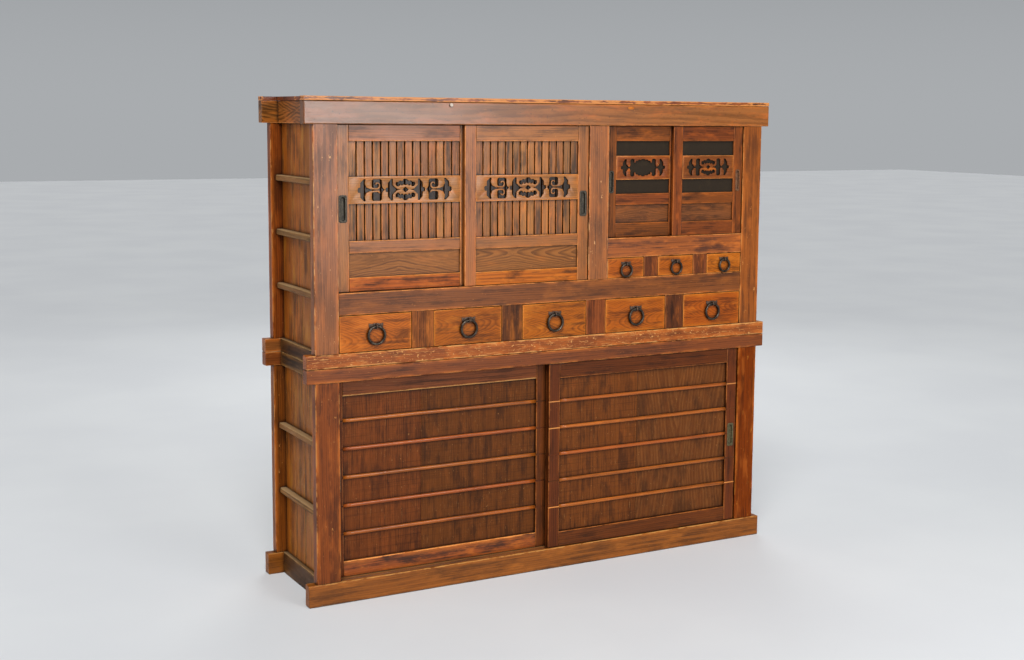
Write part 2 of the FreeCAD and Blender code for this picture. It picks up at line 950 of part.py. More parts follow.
def make_pull(door, at_left, sizes):
    """A recessed metal cup with a flat rim on the face of the stile."""
    width, height, slot_width, slot_height = sizes
    place = (door.pull_x(at_left), door.centre_z)
    rim_front, face, bottom = door.face - pull_flange, door.face, door.face + pull_depth
    rim = rounded_slab(*place, width, height, pull_corner, (rim_front, face))
    bowl = slot_slab(*place, slot_width, slot_height, pull_wall, (face, bottom))
    hollow = slot_slab(
        *place, slot_width, slot_height, 0, (rim_front - overrun, bottom - pull_wall)
    )
    return rim.fuse(bowl).cut(hollow).removeSplitter()


class SlidingDoor:
    """Places of one sliding door's members, from its span, front plane and levels."""

    def __init__(self, span, face, levels, thickness, tongue, stile):
        self.left, self.right = span
        self.face = face
        self.y_range = (face, face + thickness)
        tongue_low = face + (thickness - tongue) / 2
        self.tongue_y = (tongue_low, tongue_low + tongue)
        self.low = levels[0] + door_end_gap
        self.high = levels[-1] - door_end_gap
        self.stile = stile
        self.bay = (self.left + stile, self.right - stile)
        self.bay_low, self.bay_high = levels[1], levels[-2]
        self.centre_x = (self.left + self.right) / 2
        self.centre_z = (levels[0] + levels[-1]) / 2

    def pull_x(self, at_left):
        """Middle of the stile that carries the pull."""
        return self.left + self.stile / 2 if at_left else self.right - self.stile / 2

    def member(self, x_range, z_range):
        """A member of the frame, with a tongue where it forms the door's top or bottom."""
        solid = front_block(x_range, self.y_range, z_range, door_chamfer)
        tongues = []
        if z_range[0] <= self.low:
            tongues.append(block(x_range, self.tongue_y, (self.low - tongue_height, self.low)))
        if z_range[1] >= self.high:
            tongues.append(block(x_range, self.tongue_y, (self.high, self.high + tongue_height)))
        return solid.fuse(tongues).removeSplitter() if tongues else solid

    def stiles(self, at_left, sizes):
        """The two upright members, one of them with the pocket that a pull's cup sits in."""
        margin = pull_wall + pocket_clearance
        depth = (self.face - overrun, self.face + pull_depth + pocket_clearance)
        pocket = slot_slab(self.pull_x(at_left), self.centre_z, sizes[2], sizes[3], margin, depth)
        z_range = (self.low, self.high)
        left = self.member((self.left, self.bay[0]), z_range)
        right = self.member((self.bay[1], self.right), z_range)
        return [left.cut(pocket), right] if at_left else [left, right.cut(pocket)]

    def rails(self):
        """Bottom and top rails."""
        bottom = self.member(self.bay, (self.low, self.bay_low))
        return [bottom, self.member(self.bay, (self.bay_high, self.high))]

    def lower_panel(self, top):
        """The recessed panel over the bottom rail."""
        front = self.face + panel_setback
        return block(self.bay, (front, front + panel_thickness), (self.bay_low, top))

    def frieze(self, z_range, motif_share, piercings, variant):
        """The pierced board between the stiles."""
        front = self.face + frieze_setback
        board = block(self.bay, (front, front + frieze_thickness), z_range)
        motif = (motif_share * (self.bay[1] - self.bay[0]), z_range[1] - z_range[0])
        centre = Vector(self.centre_x, front, (z_range[0] + z_range[1]) / 2)
        return cut_all(board, piercings(centre, motif, variant))


def make_slats(door, z_range):
    """Upright slats behind the frieze, with narrow gaps and bevelled front arrises."""
    pitch = (door.bay[1] - door.bay[0]) / slat_count
    front = door.face + frieze_setback + frieze_thickness
    slats = []
    for number in range(slat_count):
        low = door.bay[0] + number * pitch
        left = low + slat_gap / 2 if number > 0 else low
        right = low + pitch - slat_gap / 2 if number < slat_count - 1 else low + pitch
        slat = block((left, right), (front, front + slat_thickness), z_range)
        slats.append(
            softened(slat, slat_bevel, lambda edge: stands(edge) and in_y_plane(edge, front))
        )
    return slats


def make_wide_door(name, span, face, at_left, lower_curls):
    """A slatted door: frame, lower panel and slats, pierced frieze, and pull."""
    levels = divided(
        long_rail_top,
        upper_opening_top,
        (
            wide_bottom_rail, wide_panel_height, wide_middle_rail, wide_lower_slats,
            wide_frieze_height, wide_upper_slats, wide_top_rail,
        ),
    )
    door = SlidingDoor(
        span, face, levels, upper_door_thickness, upper_tongue_thickness, wide_stile_width
    )
    panel_top, slats_low, frieze_low, frieze_high = levels[2:6]
    middle = door.member(door.bay, (panel_top, slats_low))
    slats = make_slats(door, (slats_low, door.bay_high))
    frieze = door.frieze((frieze_low, frieze_high), wide_motif_share, wide_piercings, lower_curls)
    export(name + "_frame", door.stiles(at_left, sizes_of_pull) + door.rails() + [middle])
    export(name + "_slats", slats + [door.lower_panel(panel_top)])
    export(name + "_frieze", [frieze])
    export(name + "_pull", [make_pull(door, at_left, sizes_of_pull)])


def make_narrow_door(name, span, face, at_left, broken):
    """A meshed door: frame with lower panel, pierced frieze, mesh, and pull."""
    levels = divided(
        right_rail_top,
        upper_opening_top,
        (
            narrow_bottom_rail, narrow_panel_height, narrow_middle_rail, narrow_lower_window,
            narrow_frieze_height, narrow_upper_window, narrow_top_rail,
        ),
    )
    door = SlidingDoor(
        span, face, levels, upper_door_thickness, upper_tongue_thickness, narrow_stile_width
    )
    panel_top, window_low, frieze_low, frieze_high = levels[2:6]
    middle = door.member(door.bay, (panel_top, window_low))
    frieze = door.frieze((frieze_low, frieze_high), narrow_motif_share, narrow_piercings, broken)
    mesh_front = face + frieze_setback + frieze_thickness + mesh_gap
    mesh = block(door.bay, (mesh_front, mesh_front + mesh_thickness), (window_low, door.bay_high))
    frame = door.stiles(at_left, sizes_of_narrow_pull) + door.rails()
    export(name + "_frame", frame + [middle, door.lower_panel(panel_top)])
    export(name + "_frieze", [frieze])
    export(name + "_mesh", [mesh])
    export(name + "_pull", [make_pull(door, at_left, sizes_of_narrow_pull)])


def rod_levels(door):
    """Heights of the rods across a base door."""
    gaps = (rod_first,) + (rod_pitch,) * (rod_count - 1) + (rod_top_gap,)
    return divided(door.bay_low, door.bay_high, gaps)[1:-1]


def rod_tenon(door, x_range, level):
    """The thin end of a rod, let in flush with the stile's face, and the slot for it."""
    half = rod_tenon_height / 2
    return block(x_range, (door.face, door.face + rod_tenon_depth), (level - half, level + half))


def tenon_spans(door, at_left, level):
    """The stretches across the two stiles; one that meets the pull stops at its pocket."""
    left, right = (door.left, door.bay[0]), (door.bay[1], door.right)
    if abs(level - door.centre_z) < (pull_height + rod_tenon_height) / 2:
        reach = pull_slot_width / 2 + pull_wall + pocket_clearance
        if at_left:
            left = (door.pull_x(True) + reach, door.bay[0])
        else:
            right = (door.bay[1], door.pull_x(False) - reach)
    return left, right


def make_rod(door, at_left, level):
    """A half-round rod in front of the boards, with a thin tenon across each stile."""
    back, half = door.face + base_board_setback, rod_height / 2
    shares = ((0, -1), (1, 0, 0, 1))

    def place(forward, up):
        return Vector(door.bay[0], back - forward * rod_depth, level + up * half)

    rod = prism(trace(shares, place), Vector(door.bay[1] - door.bay[0], 0, 0))
    tenons = [rod_tenon(door, span, level) for span in tenon_spans(door, at_left, level)]
    return rod.fuse(tenons).removeSplitter()


def make_base_door(name, span, face, at_left, joint_share):
    """A boarded door: frame, two boards, rods across them, and pull."""
    levels = (
        sill_height, sill_height + base_bottom_rail, base_opening_top - base_top_rail, base_opening_top
    )
    door = SlidingDoor(
        span, face, levels, base_door_thickness, base_tongue_thickness, base_stile_width
    )
    stiles = door.stiles(at_left, sizes_of_pull)
    for level in rod_levels(door):
        slots = [rod_tenon(door, span, level) for span in tenon_spans(door, at_left, level)]
        stiles = [stile.cut(slot) for stile, slot in zip(stiles, slots)]
    joint = door.bay[0] + (door.bay[1] - door.bay[0]) * joint_share
    front = face + base_board_setback
    boards = [
        front_block(
            x_range,
            (front, front + base_board_thickness),
            (door.bay_low, door.bay_high),
            board_joint_bevel,
        )
        for x_range in ((door.bay[0], joint), (joint, door.bay[1]))
    ]
    export(name + "_frame", stiles + door.rails())
    export(name + "_boards", boards)
    export(name + "_rods", [make_rod(door, at_left, level) for level in rod_levels(door)])
    export(name + "_pull", [make_pull(door, at_left, sizes_of_pull)])


def pair_spans(opening_left, opening_right, overlap):
    """Spans of a pair of doors that fill an opening and lap at the middle."""
    left, right = opening_left + door_side_gap, opening_right - door_side_gap
    width = (right - left + overlap) / 2
    return (left, left + width), (right - width, right)


def base_door_spans():
    """Spans of the base doors: the rear one runs on behind the left post."""
    right_end = post_inner - base_door_gap
    right = (right_end - base_door_width, right_end)
    left_end = right[0] + base_door_overlap
    return (left_end - base_door_width, left_end), right


def make_doors():
    """The three pairs of sliding doors, the left one of each pair in the rear track."""
    left, right = pair_spans(-post_inner, middle_left, wide_door_overlap)
    make_wide_door("wide_door_left", left, upper_rear_face, True, False)
    make_wide_door("wide_door_right", right, upper_door_setback, False, True)
    left, right = pair_spans(middle_right, post_inner, narrow_door_overlap)
    make_narrow_door("narrow_door_left", left, upper_rear_face, True, True)
    make_narrow_door("narrow_door_right", right, upper_door_setback, False, False)
    left, right = base_door_spans()
    make_base_door("base_door_left", left, base_rear_face, True, left_board_joint_share)
    make_base_door("base_door_right", right, base_door_setback, False, right_board_joint_share)


def drawer_row(name, start, opening, width, count, levels, ring):
    """Name, span, levels and ring sizes (diameter, wire, drop) of the drawers in one row."""
    spans = [
        (start + number * (opening + width), start + number * (opening + width) + opening)
        for number in range(count)
    ]
    return [(name + "_%d" % (number + 1), span, levels, ring) for number, span in enumerate(spans)]


def drawer_places():
    """Every drawer of both rows."""
    long_row = drawer_row(
        "drawer", -post_inner, drawer_opening, divider_width, drawer_count,
        (upper_floor, long_rail_bottom), (ring_diameter * row_fit, ring_wire, ring_drop * row_fit),
    )
    small_row = drawer_row(
        "small_drawer", middle_right, small_opening, small_divider_width, small_drawer_count,
        (long_rail_top, right_rail_bottom),
        (small_ring_diameter * row_fit, small_ring_wire, small_ring_drop * row_fit),
    )
    return long_row + small_row


def ring_pivot(span, levels, ring):
    """Middle of the ring's wire where it passes through its eye."""
    return Vector((span[0] + span[1]) / 2, ring_plane, levels[1] - ring[2])


def make_drawers():
    """Every drawer with its backplate and ring."""
    for name, span, levels, ring in drawer_places():
        diameter, wire = ring[:2]
        pivot = ring_pivot(span, levels, ring)
        export(name, make_drawer(span, *levels))
        export(name + "_plate", [make_plate(pivot, diameter, wire)])
        export(name + "_ring", [make_ring(pivot, diameter, wire)])


def make_carcass():
    """Both chests' frames, panels and boards."""
    base_levels = (sill_height, base_opening_top)
    upper_levels = (upper_floor, upper_opening_top)
    export("base_rails", make_base_rails())
    export("base_posts", corner_posts(base_levels))
    export("upper_rails", make_upper_rails())
    export("upper_posts", make_upper_posts())
    export("side_panels", side_boards(base_levels) + side_boards(upper_levels))
    export("side_battens", make_side_battens())
    export("back_boards", make_back_boards())
    export("top_boards", make_top_boards())
    export("front_rails", make_front_rails())
    export("drawer_dividers", make_drawer_dividers())
    export("floor_boards", make_floor_boards())
    export("shelves_and_runners", make_shelves() + make_door_tracks() + make_drawer_runners())


os.makedirs("parts", exist_ok=True)
make_carcass()
make_doors()
make_drawers()
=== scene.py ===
import json
import logging
import math
import random
from collections.abc import Callable, Iterable, Mapping, Sequence
from dataclasses import dataclass, field, replace
from enum import Enum

import bmesh
import bpy
from mathutils import Matrix, Vector, noise


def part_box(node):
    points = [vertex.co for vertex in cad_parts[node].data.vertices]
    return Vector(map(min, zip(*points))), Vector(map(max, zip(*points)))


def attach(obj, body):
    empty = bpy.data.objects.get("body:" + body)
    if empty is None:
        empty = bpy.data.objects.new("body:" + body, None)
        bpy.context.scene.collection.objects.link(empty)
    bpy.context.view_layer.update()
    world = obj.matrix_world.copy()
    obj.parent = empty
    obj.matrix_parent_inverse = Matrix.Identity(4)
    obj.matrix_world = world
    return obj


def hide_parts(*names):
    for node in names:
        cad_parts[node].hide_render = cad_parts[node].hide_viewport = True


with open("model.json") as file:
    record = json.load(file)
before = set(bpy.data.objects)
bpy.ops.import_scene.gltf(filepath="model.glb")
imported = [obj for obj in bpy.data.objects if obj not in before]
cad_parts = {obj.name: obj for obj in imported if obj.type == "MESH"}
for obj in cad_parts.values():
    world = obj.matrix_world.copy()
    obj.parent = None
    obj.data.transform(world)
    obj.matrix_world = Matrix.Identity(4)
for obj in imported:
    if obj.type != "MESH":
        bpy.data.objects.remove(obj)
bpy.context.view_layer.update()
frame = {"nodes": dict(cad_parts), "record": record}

# Looks of a two-chest mizuya kitchen cabinet. Lengths are in metres: X runs along the front,
# Y from front to back, Z up, with the origin under the middle of the cabinet.

log = logging.getLogger("mizuya")

MILLIMETRE = 0.001
MICRON = MILLIMETRE / 1000
BODY_OF = {
    node: body
    for body, nodes in frame["record"]["behaviour"]["bodies"].items()
    for node in nodes
}

Colour = tuple[float, float, float, float]
Point2 = tuple[float, float]


def shade(code: str) -> Colour:
    """Turn a screen colour into the linear colour that shaders use.

    Args:
        code: Six hexadecimal digits after a hash sign.

    Returns:
        Red, green, blue and full opacity.
    """
    parts = [int(code[start:start + 2], 16) / 255 for start in (1, 3, 5)]
    red, green, blue = (
        part / 12.92 if part <= 0.04045 else ((part + 0.055) / 1.055) ** 2.4 for part in parts
    )
    return red, green, blue, 1.0


class Figure(Enum):
    """How a board was cut from its log, which sets the figure on its face."""

    STRAIGHT = "quarter sawn, with straight lines"
    CATHEDRAL = "flat sawn, with nested arches"
    SAWN = "flat sawn, with the marks of the saw left on it"


class Term:
    """A number or colour in a node tree, reckoned with by the usual signs."""

    def __init__(self, graph: "Graph", socket: bpy.types.NodeSocket) -> None:
        """Hold an output socket.

        Args:
            graph: The tree that it belongs to.
            socket: The output socket.
        """
        self.graph = graph
        self.socket = socket

    def __add__(self, other: "Number") -> "Term":
        """This plus the other."""
        return self.graph.math("ADD", self, other)

    def __sub__(self, other: "Number") -> "Term":
        """This less the other."""
        return self.graph.math("SUBTRACT", self, other)

    def __rsub__(self, other: float) -> "Term":
        """The other less this."""
        return self.graph.math("SUBTRACT", other, self)

    def __mul__(self, other: "Number") -> "Term":
        """This times the other."""
        return self.graph.math("MULTIPLY", self, other)

    def __truediv__(self, other: "Number") -> "Term":
        """This divided by the other."""
        return self.graph.math("DIVIDE", self, other)

    def __abs__(self) -> "Term":
        """This without its sign."""
        return self.graph.math("ABSOLUTE", self)

    def stretch(
        self, low: float, high: float, to_low: float = 0.0, to_high: float = 1.0
    ) -> "Term":
        """Map one stretch of the value smoothly onto another.

        Args:
            low: Where the stretch begins.
            high: Where it ends.
            to_low: The result at its beginning.
            to_high: The result at its end.

        Returns:
            The mapped value.
        """
        return self.graph.add(
            "MapRange", "Result",
            {
                "Value": self, "From Min": low, "From Max": high, "To Min": to_low, "To Max": to_high,
            },
            interpolation_type="SMOOTHSTEP",
        )


Number = Term | float


class Graph:
    """A material's node tree, with short ways to add to it."""

    def __init__(self, name: str) -> None:
        """Make an empty material with one shader.

        Args:
            name: Name of the material.
        """
        self.material = bpy.data.materials.new(name)
        self.material.use_nodes = True
        self.tree = self.material.node_tree
        self.tree.nodes.clear()
        self.shader = self.tree.nodes.new("ShaderNodeBsdfPrincipled")
        output = self.tree.nodes.new("ShaderNodeOutputMaterial")
        self.tree.links.new(self.shader.outputs["BSDF"], output.inputs["Surface"])

    @classmethod
    def of_world(cls, world: bpy.types.World) -> "Graph":
        """The node tree of a world, which keeps its own shader.

        Args:
            world: The world.

        Returns:
            Its tree, with the same short ways to add to it.
        """
        graph = cls.__new__(cls)
        graph.tree = world.node_tree
        return graph

    def put(self, socket: bpy.types.NodeSocket, value: object) -> None:
        """Link a socket to a term, or set a plain value on it.

        Args:
            socket: The input socket.
            value: A term or a plain value.
        """
        if isinstance(value, Term):
            self.tree.links.new(value.socket, socket)
        else:
            socket.default_value = value

    def add(
        self, kind: str, output: str | int = 0, inputs: Mapping[str | int, object] | None = None,
        **settings: object,
    ) -> Term:
        """Add a node.

        Args:
            kind: Blender's name of the shader node, without its first words.
            output: Name or place of the output to give.
            inputs: What goes into its input sockets, by their names or places.
            settings: The node's own settings.

        Returns:
            The output.
        """
        node = self.tree.nodes.new("ShaderNode" + kind)
        for name, value in settings.items():
            setattr(node, name, value)
        for name, value in (inputs or {}).items():
            self.put(node.inputs[name], value)
        return Term(self, node.outputs[output])

    def attribute(self, name: str, output: str) -> Term:
        """Read a mesh attribute from the output named Fac or Vector."""
        return self.add("Attribute", output, attribute_name=name)

    def math(self, operation: str, *values: Number) -> Term:
        """Add a math node.

        Args:
            operation: Blender's name of the operation.
            values: Its inputs in order.

        Returns:
            The result.
        """
        return self.add("Math", inputs=dict(enumerate(values)), operation=operation)

    def split(self, vector: Term) -> list[Term]:
        """Split a vector into its three parts.

        Args:
            vector: The vector.

        Returns:
            Its X, Y and Z.
        """
        node = self.tree.nodes.new("ShaderNodeSeparateXYZ")
        self.put(node.inputs[0], vector)
        return [Term(self, output) for output in node.outputs]

    def join(self, *values: Number) -> Term:
        """Join three numbers into a vector."""
        return self.add("CombineXYZ", inputs=dict(enumerate(values)))

    def noise(self, vector: Term, seed: Number, detail: float = 2.0, roughness: float = 0.5) -> Term:
        """Add a noise that differs from board to board.

        Args:
            vector: Where to read it, already scaled.
            seed: The board's own number, which moves it through the noise.
            detail: How many finer layers it has.
            roughness: How strong the finer layers are.

        Returns:
            A value about one half.
        """
        inputs = {"Vector": vector, "W": seed, "Scale": 1.0, "Detail": detail, "Roughness": roughness}
        return self.add("TexNoise", "Fac", inputs, noise_dimensions="4D")

    def mix(self, share: Number, first: Term | Colour, second: Term | Colour) -> Term:
        """Mix two colours.

        Args:
            share: How much of the second colour.
            first: The first colour.
            second: The second colour.

        Returns:
            The mixed colour.
        """
        return self.add("Mix", 2, {"Factor": share, 6: first, 7: second}, data_type="RGBA")

    def closed(self, reach: float, shut: float, open_: float) -> Term:
        """How far a point is shut in a corner, read by ambient occlusion; the finishes paint shade and
        dirt there by it.

        Args:
            reach: How far the corner reaches.
            shut: Openness below which it is wholly shut in.
            open_: Openness above which it is wholly open.

        Returns:
            A share from 0 in the open to 1 in a corner.
        """
        openness = self.add("AmbientOcclusion", "AO", {"Distance": reach}, samples=6)
        return 1.0 - openness.stretch(shut, open_)

    def surface(self, **values: object) -> None:
        """Set inputs of the shader, by their names with spaces written as underscores."""
        for name, value in values.items():
            self.put(self.shader.inputs[name.replace("_", " ")], value)

    def bump(self, height: Term, strength: float, distance: float) -> None:
        """Give the shader a bump from a height.

        Args:
            height: The height, from 0 to 1.
            strength: Share of the bump that is used.
            distance: Real height of a full step.
        """
        inputs = {"Strength": strength, "Distance": distance, "Height": height}
        self.surface(Normal=self.add("Bump", inputs=inputs))


@dataclass(frozen=True)
class Pattern:
    """A noise that is drawn out along the grain.

    Attributes:
        across: Repeats in a metre across the grain.
        along: Repeats in a metre along the grain.
        detail: How many finer layers it has.
        roughness: How strong the finer layers are.
        shift: Keeps two patterns of like size apart.
    """

    across: float
    along: float
    detail: float = 2.0
    roughness: float = 0.5
    shift: float = 0.0

    def finer(self, times: float) -> "Pattern":
        """The same pattern, that many times as fine."""
        return replace(self, across=self.across * times, along=self.along * times)


class BoardField:
    """A point's place in its own board, as a material reads it."""

    seed_span = 61.0

    def __init__(self, graph: Graph) -> None:
        """Read the board's attributes.

        Args:
            graph: The material's tree.
        """
        self.graph = graph
        self.across, self.through, self.along = graph.split(graph.attribute("place", "Vector"))
        self.number = graph.attribute("board", "Fac")
        self.seed = self.number * self.seed_span

    def scaled(self, pattern: Pattern) -> Term:
        """The point's place in repeats of a pattern."""
        wide, long_ = pattern.across, pattern.along
        return self.graph.join(self.across * wide, self.through * wide, self.along * long_)

    def noise(self, pattern: Pattern) -> Term:
        """A pattern's value, about one half, which differs from board to board."""
        seed = self.seed + pattern.shift
        return self.graph.noise(self.scaled(pattern), seed, pattern.detail, pattern.roughness)

    def vary(self, factor: float, low: float, high: float) -> Term:
        """A number that is the same all over a board and differs between boards.

        Args:
            factor: Any odd factor, another for each use.
            low: The least result.
            high: The greatest result.

        Returns:
            The number.
        """
        chance = self.graph.math("FRACT", self.number * factor)
        return chance.stretch(0.0, 1.0, low, high)

    def arris(self, ends: bool) -> Term:
        """Distance to the nearest arris: the middle one of those to the three pairs of faces.

        Args:
            ends: False leaves out the arrises of the board's two ends.

        Returns:
            The distance.
        """
        reckon = self.graph.math
        halves = self.graph.split(self.graph.attribute("half", "Vector"))
        first, second, third = (
            half - abs(value) for half, value in zip(halves, (self.across, self.through, self.along))
        )
        low, high = reckon("MINIMUM", first, second), reckon("MAXIMUM", first, second)
        return reckon("MAXIMUM", low, reckon("MINIMUM", high, third)) if ends else high


class Finish:
    """What the finishes share: a node material that is made once and found again by its name."""

    name: str

    def material(self) -> bpy.types.Material:
        """The finish as a node material.

        Returns:
            The material, made at the first call.
        """
        known = bpy.data.materials.get(self.name)
        if known is not None:
            return known
        graph = Graph(self.name)
        self.fill(graph, BoardField(graph))
        return graph.material

    def fill(self, graph: Graph, board: BoardField) -> None:
        """Fill the material's tree; each kind of finish has its own way."""
        raise NotImplementedError


FIBRES = Pattern(520.0, 9.0, 3.0, 0.65)
PORES = Pattern(1400.0, 70.0, 1.0)
STREAKS = Pattern(105.0, 2.8, 4.0, 0.7)
STAIN = Pattern(15.0, 5.5, 5.0, 0.62, 7.0)
GLOW = Pattern(26.0, 8.0, 3.0, 0.6, 13.0)
RUBBING = Pattern(26.0, 8.0, 3.0, 0.6, 29.0)
RAGGED = Pattern(60.0, 24.0, 4.0, 0.7, 3.0)
WANDER = Pattern(9.0, 2.6, 3.0, 0.55)
SAW_MARKS = Pattern(3.0, 260.0, 2.0, 0.7)
KNOTS = Pattern(7.0, 2.1)
BRUISES = Pattern(170.0, 110.0, 2.0, 0.6, 41.0)
SCRATCHES = Pattern(620.0, 34.0, 2.0, 0.6, 53.0)
PITS = Pattern(230.0, 170.0, 1.0, 0.5, 71.0)
LINT = Pattern(26.0, 26.0, 4.0, 0.6)

DUST = "#a08560"
# Colour of painted shade with dirt in corners; SHADOW is the colour of painted shadow.
GRIME_AND_SHADE = "#140b07"
SHADOW = "#150d08"
LINT_COLOUR = "#3a2c18"
LINT_SHADOW = "#120c08"


@dataclass(frozen=True)
class WoodFinish(Finish):
    """Stained and worn wood, whose figure follows each board's own frame.

    Attributes:
        name: Name of the finish.
        light: Colour of the soft early wood.
        dark: Colour of the hard late wood.
        deep: Colour of the darkest stain and blotches.
        warm: Colour where the stain is rubbed thin.
        figure: How the boards were cut.
        ring: Distance between growth rings.
        pith: How far the heart of the log lies behind the board's face.
        taper: How fast the rings close along the grain, which makes the arches.
        contrast: Strength of the growth rings.
        streak: Strength of the long streaks.
        blotch: Strength of the dark blotches.
        glow: Strength of the patches where the stain is thin.
        knots: Strength of the knots.
        patch: How many times finer than usual the patches are.
        variety: How much boards differ in brightness.
        worn: Colour of rubbed arrises.
        wear: Strength of the rubbing.
        wear_reach: How far the rubbing reaches from an arris.
        wear_least: Share of that reach that is rubbed all along.
        ends: Whether the ends' arrises are rubbed too.
        scuffs: Strength of the pale scratches and specks.
        pits: Strength of the dark dents and wormholes.
        grime_and_shade: Strength of the darkening in corners and gaps, partly dirt and partly painted
            shade.
        grime_and_shade_reach: How far that darkening reaches out of a corner.
        shadow_band: Middle and half length of a stretch along each board painted dark with shadow and
            grime.
        dark_end: Where a board begins to darken towards its left end, and where it is darkest.
        dust: Strength of the dust on faces that look up.
        roughness: Roughness of the surface.
        gloss: Strength of the bare wood's shine.
        coat: Strength of the lacquer.
        coat_roughness: Roughness of the lacquer.
        relief: Height of the grain's relief.
    """

    name: str
    light: str
    dark: str
    deep: str
    warm: str = "#c46a24"
    figure: Figure = Figure.STRAIGHT
    ring: float = 0.0075
    pith: float = 0.035
    taper: float = 0.055
    contrast: float = 0.5
    streak: float = 1.0
    blotch: float = 0.75
    glow: float = 0.5
    knots: float = 0.0
    patch: float = 1.0
    variety: float = 0.12
    worn: str = "#d98a44"
    wear: float = 0.8
    wear_reach: float = 0.004
    wear_least: float = 0.2
    ends: bool = False
    scuffs: float = 0.3
    pits: float = 0.3
    grime_and_shade: float = 0.9
    grime_and_shade_reach: float = 0.014
    shadow_band: Point2 | None = None
    dark_end: Point2 | None = None
    dust: float = 0.0
    roughness: float = 0.4
    gloss: float = 0.22
    coat: float = 0.12
    coat_roughness: float = 0.28
    relief: float = 0.00025

    # The rings of a straight board lean through its thickness and drift along it. Those of an
    # arched one have their heart off its middle and their widest arch off its centre.
    ring_lean = 0.35
    ring_drift = 0.012
    straight_wander = 0.03
    arched_wander = 0.06
    heart_offset = 0.03
    arch_offset = 0.12

    # How strongly each part of the figure darkens the wood, and how it breaks up the stain.
    thread_share = 0.9
    streak_share = 1.7
    pore_share = 0.25
    torn_streaks = 0.6
    torn_threads = 0.35

    # Levels of each pattern between which its effect grows from none to full.
    late_swell = (0.2, 0.9)
    late_end = (1.0, 0.93)
    knot_eye = (0.10, 0.24)
    tone_levels = (-0.3, 0.75)
    glow_levels = (0.52, 0.68)
    blotch_levels = (0.47, 0.66)
    saw_levels = (0.5, 0.72)
    rub_levels = (0.42, 0.6)
    ragged_levels = (0.34, 0.66)
    pore_levels = (0.6, 0.72)
    dust_facing = (0.35, 0.9)
    dust_levels = (0.3, 0.6, 0.6, 1.0)
    grime_and_shade_levels = (0.3, 0.97)

    # How rare marks and pits are, and how much less so with each step of their strength.
    mark_rarity, mark_gain = 0.72, 0.07
    pit_rarity, pit_gain = 0.76, 0.04

    # Thin stain reaches this many times as far as rubbing. Hues differ a little between boards.
    thin_reach = 3.5
    thin_share = 0.6
    saw_share = 0.4
    dark_end_share = 0.55
    band_share = 0.93
    band_fade = 1.12
    hues = (0.496, 0.504)

    def growth(self, board: BoardField) -> Term:
        """Distance through the growth rings.

        Args:
            board: The board's own coordinates.

        Returns:
            A number that grows by one at each ring.
        """
        wander = board.noise(WANDER) - 0.5
        if self.figure is Figure.CATHEDRAL:
            heart = board.vary(3.1, -self.heart_offset, self.heart_offset)
            side = board.across + heart + wander * self.arched_wander
            depth = board.through + self.pith
            from_heart = board.graph.math("SQRT", side * side + depth * depth)
            arch = board.vary(7.7, -self.arch_offset, self.arch_offset)
            radius = from_heart - abs(board.along + arch) * self.taper
        else:
            radius = board.across + board.through * self.ring_lean
            radius = radius + board.along * self.ring_drift + wander * self.straight_wander
        return radius / self.ring

    def late_wood(self, board: BoardField) -> Term:
        """Share of hard dark wood: it swells through each ring and ends sharply.

        Args:
            board: The board's own coordinates.

        Returns:
            The share, from 0 to 1.
        """
        graph = board.graph
        rings = self.growth(board)
        phase = graph.math("FRACT", rings)
        swell = phase.stretch(*self.late_swell) * phase.stretch(*self.late_end)
        year = graph.join(graph.math("FLOOR", rings), 0.0, 0.0)
        strong = graph.noise(year, board.seed, 0.0)
        return swell * strong.stretch(0.3, 0.7, 0.25, 1.0)

    def knot(self, board: BoardField) -> Term:
        """Share of knot wood: a few dark eyes drawn out along the grain.

        Args:
            board: The board's own coordinates.

        Returns:
            The share, from 0 to 1.
        """
        inputs = {"Vector": board.scaled(KNOTS), "W": board.seed, "Scale": 1.0}
        away = board.graph.add("TexVoronoi", "Distance", inputs, voronoi_dimensions="4D")
        return (1.0 - away.stretch(*self.knot_eye)) * self.knots

    def paint(
        self, board: BoardField, late: Term, fibres: Term, pores: Term, stain: Term
    ) -> Term:
        """Colour of the stained wood, before wear and dirt.

        Args:
            board: The board's own coordinates.
            late: Share of late wood.
            fibres: The fine fibres.
            pores: The open pores.
            stain: The uneven stain.

        Returns:
            The colour.
        """
        mix = board.graph.mix
        streaks = board.noise(STREAKS) - 0.5
        threads = fibres - 0.5
        tone = late * self.contrast + threads * self.thread_share
        tone = tone + streaks * (self.streak_share * self.streak) + pores * self.pore_share
        colour = mix(tone.stretch(*self.tone_levels), shade(self.light), shade(self.dark))
        torn = streaks * self.torn_streaks + threads * self.torn_threads
        thin = board.noise(GLOW.finer(self.patch)) + torn
        colour = mix(thin.stretch(*self.glow_levels) * self.glow, colour, shade(self.warm))
        blotch = (stain + torn).stretch(*self.blotch_levels)
        colour = mix(blotch * self.blotch, colour, shade(self.deep))
        if self.knots:
            colour = mix(self.knot(board), colour, shade(self.deep))
        if self.figure is Figure.SAWN:
            saw = board.noise(SAW_MARKS).stretch(*self.saw_levels)
            colour = mix(saw * self.saw_share, colour, shade(self.deep))
        return board.graph.add("HueSaturation", inputs={
            "Value": board.vary(5.37, 1 - self.variety, 1 + self.variety),
            "Hue": board.vary(9.71, *self.hues),
            "Color": colour,
        })

    def marks(self, board: BoardField) -> Term:
        """Share of pale scratches and specks.

        Args:
            board: The board's own coordinates.

        Returns:
            The share, from 0 to 1.
        """
        rare = self.mark_rarity - self.mark_gain * self.scuffs
        bruise = board.noise(BRUISES).stretch(rare, rare + 0.05)
        scratch = board.noise(SCRATCHES).stretch(rare - 0.02, rare + 0.04)
        return board.graph.math("MAXIMUM", bruise, scratch) * min(1.0, 1.4 * self.scuffs)

